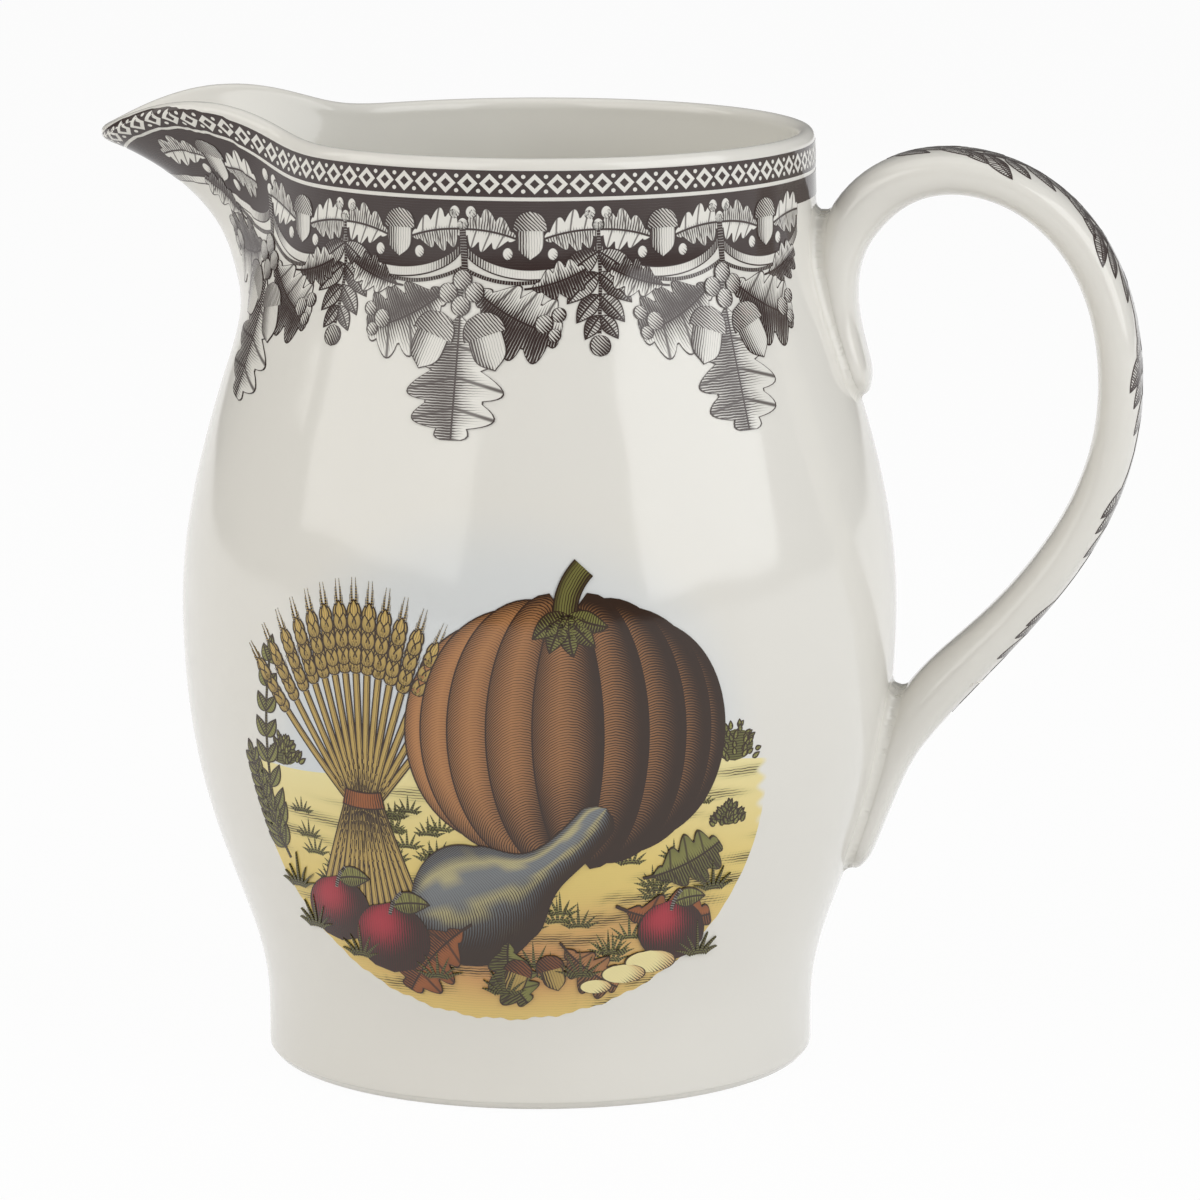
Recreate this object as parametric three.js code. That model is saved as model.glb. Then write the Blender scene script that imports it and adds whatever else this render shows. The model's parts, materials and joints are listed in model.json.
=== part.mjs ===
// A glazed earthenware pitcher: a cast barrel body with a pulled spout, a cast loop handle that is
// stuck on with two beds of luting slip, and the printed transfer films that are laid on the glaze.
// Millimetres, +Z up, the handle towards +X and the spout towards -X.
import * as THREE from "three";

// Body: heights are above the table, radii are of the outside
const RIM_HEIGHT = 200;
const RIM_RADIUS = 58.4;
const NECK_RADIUS = 59;
const NECK_LENGTH = 20;
const BELLY_RADIUS = 76.5;
const BELLY_HEIGHT = 98;
const FOOT_RADIUS = 58.6;
const FOOT_COLLAR_HEIGHT = 10;

// How far the wall runs on upright before it turns, at each end of its two curves
const FOOT_PULL = 26;
const BELLY_PULL_DOWN = 51;
const BELLY_PULL_UP = 34.5;
const NECK_PULL = 17;

// Wall, lip, floor and foot ring
const WALL_THICKNESS = 4;
const LIP_THICKNESS = 3.6;
const FLOOR_THICKNESS = 5;
const FLOOR_FILLET = 9;
const FOOT_EDGE_RADIUS = 3;
const FOOT_RING_WIDTH = 5;
const FOOT_RING_SLOPE = 2;
const FOOT_RECESS = 2.6;

// Spout: the wall is drawn out most at the rim and fades down the throat, which runs back into the
// plain wall between two depths under the rim; spreads are in degrees
const SPOUT_REACH = 38.8;
const SPOUT_FADE = 15;
const SPOUT_SPREAD = 16.5;
const THROAT_START = 27;
const THROAT_END = 46;
const LIP_SWELL = 16;
const LIP_SWELL_SPREAD = 21;
const LIP_SWELL_FADE = 22;
const TIP_DROP = 2.2;
const TIP_SPREAD = 11.5;

// Handle: a strap whose two tails lie along the wall and thin out towards their ends; it swells on the
// side of the fingers where it leaves the wall
const HANDLE_WIDTH = 20.5;
const HANDLE_THICKNESS = 9.35;
const HANDLE_TAIL_THICKNESS = 6;
const HANDLE_TAPER_LENGTH = 48;
const HANDLE_SQUARENESS = 2.7;
const HANDLE_TIP_ROUND = 7;
const UPPER_SWELL = 2.1;
const LOWER_SWELL = 1.75;
const ROOT_SWELL_AT = 41.2;
const ROOT_SWELL_SPREAD = 15.7;
const GRIP_CLEARANCE = 47.2;
const GRIP_DROP = 53.6;
const UPPER_ROOT_DROP = 27;
const UPPER_ROOT_LIFT = 3.87;
const UPPER_TAIL_LENGTH = 29;
const ARCH_RISE = 29.6;
const ARCH_LEAN = 2.65;
const ARCH_FALL = 53.9;
const GRIP_FALL = 41.1;
const LOWER_ROOT_HEIGHT = 62.8;
const LOWER_ROOT_LIFT = 2.3;
const LOWER_ROOT_PULL = 24.9;
const LOWER_TAIL_LENGTH = 21.5;

// Luting slip between the handle and the wall
const SLIP_THICKNESS = 0.8;
const SLIP_MARGIN = 1.5;
const SLIP_ABOVE_ROOT = 10;
const SEAT_CLEARANCE = 0.3;

// Printed transfers
const FILM_THICKNESS = 0.2;
const BORDER_TOP_DROP = 2.6;
const BORDER_DEPTH = 62;
const BORDER_SEAM = 0.4;
const BORDER_SIDE_CLEARANCE = 5.5;
const MEDALLION_HALF_WIDTH = 62;
const MEDALLION_HALF_HEIGHT = 57;
const MEDALLION_DROP = 5;
const HANDLE_PRINT_UPPER_MARGIN = 50;
const HANDLE_PRINT_LOWER_MARGIN = 40;

// Facets; the columns of the body stand closer together at the spout as SPOUT_CROWDING grows
const COLUMNS = 64;
const SPOUT_CROWDING = 0.3;
const WALL_ROWS = 20;
const SPOUT_ROWS = 9;
const INNER_ROWS = 9;
const ARC_STEPS = 4;
const HANDLE_STEPS = 34;
const HANDLE_TIP_STEPS = 3;
const SECTION_POINTS = 16;
const SLIP_SIDES = 24;
const SLIP_RINGS = 4;
const MEDALLION_SIDES = 44;
const MEDALLION_RINGS = 9;

const SPOUT_AZIMUTH = Math.PI;
const HANDLE_AZIMUTH = 0;
const FRONT_AZIMUTH = -Math.PI / 2;
const BACK_AZIMUTH = Math.PI / 2;
const NECK_HEIGHT = RIM_HEIGHT - NECK_LENGTH;
const FLOOR_TOP = FOOT_RECESS + FLOOR_THICKNESS;
const FLOOR_FILLET_TOP = FLOOR_TOP + FLOOR_FILLET;
const LIP_RADIUS = LIP_THICKNESS / 2;
const LIP_CENTRE_HEIGHT = RIM_HEIGHT - LIP_RADIUS;
const HANDLE_SEAT = SEAT_CLEARANCE + SLIP_THICKNESS + SEAT_CLEARANCE;
const UPPER_ROOT_HEIGHT = RIM_HEIGHT - UPPER_ROOT_DROP;
const UPPER_TAIL_HEIGHT = UPPER_ROOT_HEIGHT - UPPER_TAIL_LENGTH;
const LOWER_TAIL_HEIGHT = LOWER_ROOT_HEIGHT - LOWER_TAIL_LENGTH;
const BORDER_BOTTOM = RIM_HEIGHT - BORDER_DEPTH;
const MEDALLION_HEIGHT = BORDER_BOTTOM - MEDALLION_DROP - MEDALLION_HALF_HEIGHT;

const radians = THREE.MathUtils.degToRad;
const lerp = THREE.MathUtils.lerp;
const smoothstep = THREE.MathUtils.smoothstep;
const list = (length, make) => Array.from({ length }, (_, i) => make(i));

// Glazes and prints

const glaze = (color, roughness) => new THREE.MeshStandardMaterial({ color, roughness, metalness: 0 });
const ivoryGlaze = glaze(0xe9e6dd, 0.12);
const slipGlaze = glaze(0xdedbd0, 0.2);
const brownPrint = glaze(0x4a3832, 0.15);
const harvestPrint = glaze(0xb08a4a, 0.15);

// Outside of the body

// The upright outline: x is the radius and y the height, from the top of the foot's edge to the rim
function wallOutline() {
  const foot = new THREE.Vector2(FOOT_RADIUS, FOOT_EDGE_RADIUS);
  const collar = new THREE.Vector2(FOOT_RADIUS, FOOT_COLLAR_HEIGHT);
  const belly = new THREE.Vector2(BELLY_RADIUS, BELLY_HEIGHT);
  const neck = new THREE.Vector2(NECK_RADIUS, NECK_HEIGHT);
  const rim = new THREE.Vector2(RIM_RADIUS, RIM_HEIGHT);
  const raised = (point, rise) => new THREE.Vector2(point.x, point.y + rise);
  const swell = [collar, raised(collar, FOOT_PULL), raised(belly, -BELLY_PULL_DOWN), belly];
  const drawIn = [belly, raised(belly, BELLY_PULL_UP), raised(neck, -NECK_PULL), neck];
  const outline = new THREE.CurvePath();
  outline.add(new THREE.LineCurve(foot, collar));
  outline.add(new THREE.CubicBezierCurve(...swell));
  outline.add(new THREE.CubicBezierCurve(...drawIn));
  outline.add(new THREE.LineCurve(neck, rim));
  return outline.getSpacedPoints(600);
}

const outlinePoints = wallOutline();

function wallRadius(height) {
  const above = outlinePoints.findIndex((point) => point.y >= height);
  if (above === 0) return outlinePoints[0].x;
  if (above < 0) return outlinePoints.at(-1).x;
  const low = outlinePoints[above - 1];
  const high = outlinePoints[above];
  return lerp(low.x, high.x, (height - low.y) / (high.y - low.y));
}

const bell = (angle, spread) => Math.exp(-((angle / radians(spread)) ** 2));

function fromSpout(azimuth) {
  const turn = azimuth - SPOUT_AZIMUTH;
  return Math.atan2(Math.sin(turn), Math.cos(turn));
}

// The rim swells up on both sides of the spout and drops again at its tip
function lipWave(angle) {
  return LIP_SWELL * bell(angle, LIP_SWELL_SPREAD) - (LIP_SWELL + TIP_DROP) * bell(angle, TIP_SPREAD);
}

const polar = (radius, azimuth, height) =>
  new THREE.Vector3(radius * Math.cos(azimuth), radius * Math.sin(azimuth), height);

function outsidePoint(azimuth, height) {
  const angle = fromSpout(azimuth);
  const below = RIM_HEIGHT - height;
  const fade = Math.exp(-below / SPOUT_FADE) * (1 - smoothstep(below, THROAT_START, THROAT_END));
  const drawnOut = SPOUT_REACH * fade * bell(angle, SPOUT_SPREAD);
  const raised = lipWave(angle) * Math.exp(-below / LIP_SWELL_FADE);
  return polar(wallRadius(height) + drawnOut, azimuth, height + raised);
}

// Direction up the wall and direction out of it, by small differences
function wallFrame(azimuth, height) {
  const smallAngle = 0.002;
  const smallRise = 0.05;
  const low = Math.max(height - smallRise, FOOT_EDGE_RADIUS);
  const high = Math.min(height + smallRise, RIM_HEIGHT);
  const up = outsidePoint(azimuth, high).sub(outsidePoint(azimuth, low)).normalize();
  const before = outsidePoint(azimuth - smallAngle, height);
  const along = outsidePoint(azimuth + smallAngle, height).sub(before);
  return { up, out: along.cross(up).normalize() };
}

function wallPoint(azimuth, height, offset) {
  return outsidePoint(azimuth, height).addScaledVector(wallFrame(azimuth, height).out, offset);
}

// Closed surfaces

function meshGeometry(points, triangles) {
  const numbers = points.flatMap((point) => point.toArray());
  const geometry = new THREE.BufferGeometry();
  geometry.setAttribute("position", new THREE.Float32BufferAttribute(numbers, 3));
  geometry.setIndex(triangles);
  geometry.computeVertexNormals();
  return geometry;
}

// A skin over closed rings of equal count, shut by a pole at each end
function skinOverRings(firstPole, rings, lastPole) {
  const count = rings[0].length;
  const points = [firstPole, ...rings.flat(), lastPole];
  const at = (ring, i) => 1 + ring * count + (i % count);
  const last = rings.length - 1;
  const triangles = [];
  for (let i = 0; i < count; i++) {
    triangles.push(0, at(0, i + 1), at(0, i));
    triangles.push(points.length - 1, at(last, i), at(last, i + 1));
  }
  for (let ring = 0; ring < last; ring++) {
    for (let i = 0; i < count; i++) {
      triangles.push(at(ring, i), at(ring, i + 1), at(ring + 1, i + 1));
      triangles.push(at(ring, i), at(ring + 1, i + 1), at(ring + 1, i));
    }
  }
  return meshGeometry(points, triangles);
}

// A sheet with thickness between two grids of points, under[row][column] and over[row][column]
function sheetBetween(under, over) {
  const rows = under.length;
  const columns = under[0].length;
  const points = [...under.flat(), ...over.flat()];
  const low = (row, column) => row * columns + column;
  const high = (row, column) => (rows + row) * columns + column;
  const triangles = [];
  const quad = (a, b, c, d) => triangles.push(a, b, c, a, c, d);
  const right = columns - 1;
  const end = rows - 1;
  for (let r = 0; r < end; r++) {
    for (let c = 0; c < right; c++) {
      quad(high(r, c), high(r, c + 1), high(r + 1, c + 1), high(r + 1, c));
      quad(low(r, c), low(r + 1, c), low(r + 1, c + 1), low(r, c + 1));
    }
    quad(low(r, 0), high(r, 0), high(r + 1, 0), low(r + 1, 0));
    quad(low(r, right), low(r + 1, right), high(r + 1, right), high(r, right));
  }
  for (let c = 0; c < right; c++) {
    quad(low(0, c), low(0, c + 1), high(0, c + 1), high(0, c));
    quad(low(end, c), high(end, c), high(end, c + 1), low(end, c + 1));
  }
  return meshGeometry(points, triangles);
}

// A number from -1 to 1 drawn towards the ends, which turns a circle into a squared oval
const squared = (value, squareness) => Math.sign(value) * Math.abs(value) ** (2 / squareness);

// A round or oval patch with thickness, lying on the wall: it reaches halfWide to each side along the
// wall and halfHigh up and down, and its outline is squarer as squareness grows from 2
function patchOnWall({ azimuth, height, halfWide, halfHigh, squareness, thickness, sides, rings }) {
  const ringAt = (share, offset) =>
    list(sides, (i) => {
      const turn = (2 * Math.PI * i) / sides;
      const z = height + share * halfHigh * squared(Math.sin(turn), squareness);
      const aside = share * halfWide * squared(Math.cos(turn), squareness);
      return wallPoint(azimuth + aside / wallRadius(z), z, offset);
    });
  const top = SEAT_CLEARANCE + thickness;
  const shares = list(rings, (i) => (i + 1) / rings);
  const under = shares.map((share) => ringAt(share, SEAT_CLEARANCE));
  const over = shares.map((share) => ringAt(share, top)).reverse();
  const centre = (offset) => wallPoint(azimuth, height, offset);
  return skinOverRings(centre(SEAT_CLEARANCE), [...under, ...over], centre(top));
}

// Body

const columnAngles = list(COLUMNS, (i) => {
  const share = (2 * i) / COLUMNS - 1;
  return Math.PI * lerp(share, share ** 3, SPOUT_CROWDING);
});
const columnAzimuths = columnAngles.map((angle) => SPOUT_AZIMUTH + angle);

// Even rows up to the throat of the spout, then rows that close up towards the rim
function wallHeights(bottom, rows) {
  const throat = RIM_HEIGHT - 3 * SPOUT_FADE;
  const even = list(rows, (i) => lerp(bottom, throat, i / rows));
  const closing = list(SPOUT_ROWS + 1, (i) => lerp(LIP_CENTRE_HEIGHT, throat, (1 - i / SPOUT_ROWS) ** 1.5));
  return [...even, ...closing];
}

const levelRing = (radius, height) => columnAzimuths.map((azimuth) => polar(radius, azimuth, height));
const wallRing = (height, offset) => columnAzimuths.map((azimuth) => wallPoint(azimuth, height, offset));

// The recess under the floor, the flat ring that stands on the table and the rounded edge of the foot
function footRings() {
  const standing = FOOT_RADIUS - FOOT_EDGE_RADIUS;
  const inside = standing - FOOT_RING_WIDTH;
  const edge = list(ARC_STEPS, (i) => {
    const turn = (i / ARC_STEPS) * (Math.PI / 2);
    return levelRing(standing + FOOT_EDGE_RADIUS * Math.sin(turn), FOOT_EDGE_RADIUS * (1 - Math.cos(turn)));
  });
  return [levelRing(inside - FOOT_RING_SLOPE, FOOT_RECESS), levelRing(inside, 0), ...edge];
}

function lipRings() {
  return list(ARC_STEPS - 1, (i) => {
    const turn = ((i + 1) / ARC_STEPS) * Math.PI;
    return columnAzimuths.map((azimuth) => {
      const { up, out } = wallFrame(azimuth, LIP_CENTRE_HEIGHT);
      const centre = wallPoint(azimuth, LIP_CENTRE_HEIGHT, -LIP_RADIUS);
      centre.addScaledVector(out, LIP_RADIUS * Math.cos(turn));
      return centre.addScaledVector(up, LIP_RADIUS * Math.sin(turn));
    });
  });
}

function wallThickness(height) {
  return lerp(WALL_THICKNESS, LIP_THICKNESS, smoothstep(height, NECK_HEIGHT, LIP_CENTRE_HEIGHT));
}

function floorRings() {
  const insideRadius = wallRadius(FLOOR_FILLET_TOP) - WALL_THICKNESS;
  return list(ARC_STEPS, (i) => {
    const turn = ((i + 1) / ARC_STEPS) * (Math.PI / 2);
    const radius = insideRadius - FLOOR_FILLET * (1 - Math.cos(turn));
    return levelRing(radius, FLOOR_FILLET_TOP - FLOOR_FILLET * Math.sin(turn));
  });
}

const outsideHeights = wallHeights(FOOT_EDGE_RADIUS, WALL_ROWS);
const insideHeights = wallHeights(FLOOR_FILLET_TOP, INNER_ROWS).reverse();

function jugBody() {
  const outside = outsideHeights.map((height) => wallRing(height, 0));
  const inside = insideHeights.map((height) => wallRing(height, -wallThickness(height)));
  const rings = [...footRings(), ...outside, ...lipRings(), ...inside, ...floorRings()];
  return skinOverRings(new THREE.Vector3(0, 0, FOOT_RECESS), rings, new THREE.Vector3(0, 0, FLOOR_TOP));
}

// Handle

const besideWall = (height, lift) => polar(wallRadius(height) + lift, HANDLE_AZIMUTH, height);

// The strap's middle line: up the wall, over the arch to the grip, down to the wall and along it
function handlePath() {
  const upperTip = besideWall(UPPER_TAIL_HEIGHT, HANDLE_SEAT);
  const upperRoot = besideWall(UPPER_ROOT_HEIGHT, UPPER_ROOT_LIFT);
  const grip = polar(BELLY_RADIUS + GRIP_CLEARANCE, HANDLE_AZIMUTH, RIM_HEIGHT - GRIP_DROP);
  const lowerRoot = besideWall(LOWER_ROOT_HEIGHT, LOWER_ROOT_LIFT);
  const lowerTip = besideWall(LOWER_TAIL_HEIGHT, HANDLE_SEAT);
  const raised = (point, rise) => point.clone().setZ(point.z + rise);
  const leaning = (rise) => upperRoot.clone().add(polar((rise * ARCH_LEAN) / ARCH_RISE, HANDLE_AZIMUTH, rise));
  const tailThird = UPPER_TAIL_LENGTH / 3;
  const upperLean = besideWall(UPPER_TAIL_HEIGHT + tailThird, HANDLE_SEAT);
  const alongWall = lowerRoot.clone().sub(lowerTip).normalize();
  const lowerLean = lowerRoot.clone().addScaledVector(alongWall, LOWER_ROOT_PULL);
  const upperTail = [upperTip, upperLean, leaning(-tailThird), upperRoot];
  const arch = [upperRoot, leaning(ARCH_RISE), raised(grip, ARCH_FALL), grip];
  const sweep = [grip, raised(grip, -GRIP_FALL), lowerLean, lowerRoot];
  const path = new THREE.CurvePath();
  path.add(new THREE.CubicBezierCurve3(...upperTail));
  path.add(new THREE.CubicBezierCurve3(...arch));
  path.add(new THREE.CubicBezierCurve3(...sweep));
  path.add(new THREE.LineCurve3(lowerRoot, lowerTip));
  return path;
}

const strapPath = handlePath();
const strapLength = strapPath.getLength();

// Keeps a point of the strap outside the wall, so that the tails take the wall's own curve
function seatOnWall(point) {
  const azimuth = Math.atan2(point.y, point.x);
  const seat = wallPoint(azimuth, point.z, HANDLE_SEAT);
  const reach = Math.hypot(seat.x, seat.y);
  return Math.hypot(point.x, point.y) < reach ? polar(reach, azimuth, point.z) : point;
}

// One ring of the strap at a distance along it: a squared oval across the path, which shrinks to
// nothing over HANDLE_TIP_ROUND at each end; proud lifts the ring off the strap's own surface
function strapRing(distance, proud) {
  const middle = strapPath.getPointAt(distance / strapLength);
  const tangent = strapPath.getTangentAt(distance / strapLength);
  const across = new THREE.Vector3(-tangent.z, 0, tangent.x);
  const toEnd = Math.min(distance, strapLength - distance);
  const shrink = Math.sqrt(1 - (1 - Math.min(1, toEnd / HANDLE_TIP_ROUND)) ** 2);
  const thickness = lerp(HANDLE_TAIL_THICKNESS, HANDLE_THICKNESS, smoothstep(toEnd, 0, HANDLE_TAPER_LENGTH));
  const rootSwell = distance < strapLength / 2 ? UPPER_SWELL : LOWER_SWELL;
  const swell = rootSwell * Math.exp(-(((toEnd - ROOT_SWELL_AT) / ROOT_SWELL_SPREAD) ** 2));
  return list(SECTION_POINTS, (i) => {
    const turn = (2 * Math.PI * i) / SECTION_POINTS;
    const aside = (HANDLE_WIDTH / 2) * shrink * squared(Math.cos(turn), HANDLE_SQUARENESS);
    const half = Math.sin(turn) < 0 ? thickness / 2 + swell : thickness / 2;
    const outward = half * shrink * squared(Math.sin(turn), HANDLE_SQUARENESS);
    const point = middle.clone().addScaledVector(across, outward + proud * Math.sin(turn));
    point.y = aside + proud * Math.cos(turn);
    return seatOnWall(point);
  });
}

// Rings close up at the rounded tips and stand evenly between them
function ringDistances() {
  const quarter = Math.PI / 2 / HANDLE_TIP_STEPS;
  const tip = list(HANDLE_TIP_STEPS - 1, (i) => HANDLE_TIP_ROUND * (1 - Math.cos((i + 1) * quarter)));
  const far = strapLength - HANDLE_TIP_ROUND;
  const even = list(HANDLE_STEPS + 1, (i) => lerp(HANDLE_TIP_ROUND, far, i / HANDLE_STEPS));
  return [...tip, ...even, ...tip.map((distance) => strapLength - distance).reverse()];
}

const strapDistances = ringDistances();

function handle() {
  const rings = strapDistances.map((distance) => strapRing(distance, 0));
  const tip = (share) => seatOnWall(strapPath.getPointAt(share));
  return skinOverRings(tip(0), rings, tip(1));
}

// Luting slip: an oval bed under each tail, a little wider than the strap

function slipBed(tailHeight, rootHeight) {
  const bottom = tailHeight - SLIP_MARGIN;
  const top = rootHeight + SLIP_ABOVE_ROOT;
  return patchOnWall({
    azimuth: HANDLE_AZIMUTH,
    height: (bottom + top) / 2,
    halfWide: HANDLE_WIDTH / 2 + SLIP_MARGIN,
    halfHigh: (top - bottom) / 2,
    squareness: HANDLE_SQUARENESS,
    thickness: SLIP_THICKNESS,
    sides: SLIP_SIDES,
    rings: SLIP_RINGS,
  });
}

// Printed transfers

// One half of the border, from the seam at the spout to the side of the handle: side is 1 for the
// front half and -1 for the back half
function borderFilm(side) {
  const top = RIM_HEIGHT - BORDER_TOP_DROP;
  const heights = [BORDER_BOTTOM, ...outsideHeights.filter((z) => z > BORDER_BOTTOM && z < top), top];
  const start = BORDER_SEAM / 2 / RIM_RADIUS;
  const besideHandle = HANDLE_WIDTH / 2 + SLIP_MARGIN + BORDER_SIDE_CLEARANCE;
  const stop = Math.PI - besideHandle / NECK_RADIUS;
  const between = columnAngles.map((angle) => angle * side).filter((angle) => angle > start && angle < stop);
  const angles = [start, ...between, stop].map((angle) => angle * side).sort((a, b) => a - b);
  const grid = (offset) =>
    heights.map((height) => angles.map((angle) => wallPoint(SPOUT_AZIMUTH + angle, height, offset)));
  return sheetBetween(grid(SEAT_CLEARANCE), grid(SEAT_CLEARANCE + FILM_THICKNESS));
}

function medallionFilm(azimuth) {
  return patchOnWall({
    azimuth,
    height: MEDALLION_HEIGHT,
    halfWide: MEDALLION_HALF_WIDTH,
    halfHigh: MEDALLION_HALF_HEIGHT,
    squareness: 2,
    thickness: FILM_THICKNESS,
    sides: MEDALLION_SIDES,
    rings: MEDALLION_RINGS,
  });
}

// The strip of print down the outer face of the strap, clear of both tails
function handleFilm() {
  const start = HANDLE_PRINT_UPPER_MARGIN;
  const stop = strapLength - HANDLE_PRINT_LOWER_MARGIN;
  const between = strapDistances.filter((distance) => distance > start && distance < stop);
  const outerFace = (ring) => ring.slice(1, SECTION_POINTS / 2);
  const grid = (proud) => [start, ...between, stop].map((distance) => outerFace(strapRing(distance, proud)));
  return sheetBetween(grid(SEAT_CLEARANCE), grid(SEAT_CLEARANCE + FILM_THICKNESS));
}

// Assembly

const pitcher = new THREE.Group();

function addPiece(name, geometry, material) {
  const piece = new THREE.Mesh(geometry, material);
  piece.name = name;
  pitcher.add(piece);
}

addPiece("jug_body", jugBody(), ivoryGlaze);
addPiece("handle", handle(), ivoryGlaze);
addPiece("upper_luting_slip", slipBed(UPPER_TAIL_HEIGHT, UPPER_ROOT_HEIGHT), slipGlaze);
addPiece("lower_luting_slip", slipBed(LOWER_TAIL_HEIGHT, LOWER_ROOT_HEIGHT), slipGlaze);
addPiece("border_transfer_front", borderFilm(1), brownPrint);
addPiece("border_transfer_back", borderFilm(-1), brownPrint);
addPiece("medallion_transfer_front", medallionFilm(FRONT_AZIMUTH), harvestPrint);
addPiece("medallion_transfer_back", medallionFilm(BACK_AZIMUTH), harvestPrint);
addPiece("handle_transfer", handleFilm(), brownPrint);

// The origin is on the table, under the middle of the whole pitcher from spout to handle
const extent = new THREE.Box3().setFromObject(pitcher);
pitcher.position.x = -(extent.min.x + extent.max.x) / 2;

const part = new THREE.Group();
part.add(pitcher);

export default part;
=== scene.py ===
import json
import math
from functools import lru_cache

import bmesh
import bpy
import numpy as np
from bpy.props import FloatProperty, FloatVectorProperty, IntProperty, PointerProperty
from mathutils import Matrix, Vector
from mathutils.bvhtree import BVHTree

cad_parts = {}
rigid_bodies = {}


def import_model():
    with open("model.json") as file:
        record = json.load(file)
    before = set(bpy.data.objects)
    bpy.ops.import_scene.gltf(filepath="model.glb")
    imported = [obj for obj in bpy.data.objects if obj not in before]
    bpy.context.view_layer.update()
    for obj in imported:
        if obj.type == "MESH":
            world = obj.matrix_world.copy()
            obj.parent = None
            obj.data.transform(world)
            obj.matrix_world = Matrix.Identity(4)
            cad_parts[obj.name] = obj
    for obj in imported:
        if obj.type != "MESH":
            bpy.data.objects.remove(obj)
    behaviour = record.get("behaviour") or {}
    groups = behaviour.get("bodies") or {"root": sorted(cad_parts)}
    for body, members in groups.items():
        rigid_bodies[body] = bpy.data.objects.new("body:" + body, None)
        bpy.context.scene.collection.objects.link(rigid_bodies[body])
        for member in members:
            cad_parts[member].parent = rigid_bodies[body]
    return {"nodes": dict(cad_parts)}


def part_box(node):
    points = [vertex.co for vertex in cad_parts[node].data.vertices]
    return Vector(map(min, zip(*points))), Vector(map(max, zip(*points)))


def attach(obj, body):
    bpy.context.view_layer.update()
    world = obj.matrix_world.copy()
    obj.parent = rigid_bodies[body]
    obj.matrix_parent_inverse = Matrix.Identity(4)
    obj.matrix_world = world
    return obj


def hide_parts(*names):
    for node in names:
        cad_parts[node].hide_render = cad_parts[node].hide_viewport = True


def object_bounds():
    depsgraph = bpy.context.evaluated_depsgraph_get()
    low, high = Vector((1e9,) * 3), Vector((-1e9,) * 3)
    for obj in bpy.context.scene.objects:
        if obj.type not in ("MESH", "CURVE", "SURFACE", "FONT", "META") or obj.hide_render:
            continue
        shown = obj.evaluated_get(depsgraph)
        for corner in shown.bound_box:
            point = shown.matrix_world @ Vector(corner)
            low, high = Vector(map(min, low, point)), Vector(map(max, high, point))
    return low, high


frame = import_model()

bl_info = {
    "name": "Glazed pitcher",
    "version": (1, 0, 0),
    "blender": (4, 5, 0),
    "location": "3D View > Sidebar > Pitcher",
    "description": "Dresses the packed pitcher with glaze, printed borders and a printed medallion",
    "category": "Object",
}

CAD_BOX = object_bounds()
MM = 0.001
SPOUT_AZIMUTH = math.pi
# Share of the strap's half width at which its long edges run
STRAP_EDGE = 0.774
# Points nearer than this are one, and triangles that make corners within this angle of square are one quad
WELD = 2e-6
PAIRING = math.radians(70)
# Distance in millimetres for artwork without an outline or a midrib
FAR = 9.0


def middle(node):
    """The middle of a CAD node's box."""
    low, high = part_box(node)
    return (low + high) / 2


AXIS = Vector((middle("medallion_transfer_front").x, 0, 0))


def shade(red, green, blue):
    """A colour of 0 to 255, as seen on a screen, as the linear numbers that finishes take."""
    def linear(value):
        value /= 255
        return value / 12.92 if value <= 0.04045 else ((value + 0.055) / 1.055) ** 2.4

    return linear(red), linear(green), linear(blue)


def colour(name, description, *numbers):
    return FloatVectorProperty(name=name, description=description, subtype="COLOR", size=3,
                               min=0, max=1, default=shade(*numbers))


def length(name, description, millimetres):
    return FloatProperty(name=name, description=description, unit="LENGTH", subtype="DISTANCE",
                         min=0, precision=5, default=millimetres * MM)


def number(name, description, value):
    return FloatProperty(name=name, description=description, default=value, precision=3)


class GlazeSettings(bpy.types.PropertyGroup):
    """Colours and gloss of the glazed clay"""

    outside: colour("Outside", "Glaze on the outside of the body and on the handle", 233, 230, 224)
    # Painted shade: a darker, greener colour inside the body stands for the shade and bounced light in the
    # mouth
    inside: colour("Inside", "Glaze inside the body, where it lies thicker", 222, 222, 204)
    bare_clay: colour("Bare clay", "Unglazed ring that stands on the table", 226, 218, 202)
    slip: colour("Slip", "Glaze over the luting slip at the handle's roots", 232, 229, 222)
    roughness: number("Roughness", "Roughness of the glaze", 0.11)
    waviness: number("Waviness", "Strength of the slow waves in the glaze", 0.05)


class HandleSettings(bpy.types.PropertyGroup):
    """How the handle's roots run into the wall"""

    fillet: length("Fillet", "Radius to which the slip is smoothed round the roots", 1.4)
    ridge: number("Ridge", "How sharp the strap's four long edges stay", 0.8)


class StageSettings(bpy.types.PropertyGroup):
    """Floor, lamps and camera"""

    camera_distance: length("Camera distance", "From the body's axis to the camera", 1433.3)
    camera_height: length("Camera height", "From the table to the camera", 363.7)
    camera_turn: FloatProperty(name="Camera turn", description="Round the axis, towards the handle",
                               subtype="ANGLE", default=math.radians(7))
    camera_yaw: FloatProperty(name="Camera yaw", description="Aim to the right of the axis",
                              subtype="ANGLE", default=math.radians(0.517))
    camera_pitch: FloatProperty(name="Camera pitch", description="Aim below the horizon",
                                subtype="ANGLE", default=math.radians(10.505))
    lens: number("Lens", "Focal length in millimetres on a sensor of 36 mm", 203.7)
    floor: length("Floor", "Half the width of the floor", 4000)
    left_power: number("Left box", "Power of the left softbox in watts", 11.8)
    right_power: number("Right box", "Power of the right softbox in watts", 13.9)
    edge_power: number("Edge box", "Power of the narrow softbox beside the spout in watts", 1.6)
    top_power: number("Top box", "Power of the softbox overhead in watts", 3.5)
    fill: number("Fill", "Strength of the even light from all round", 0.17)


# Finishes

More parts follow.
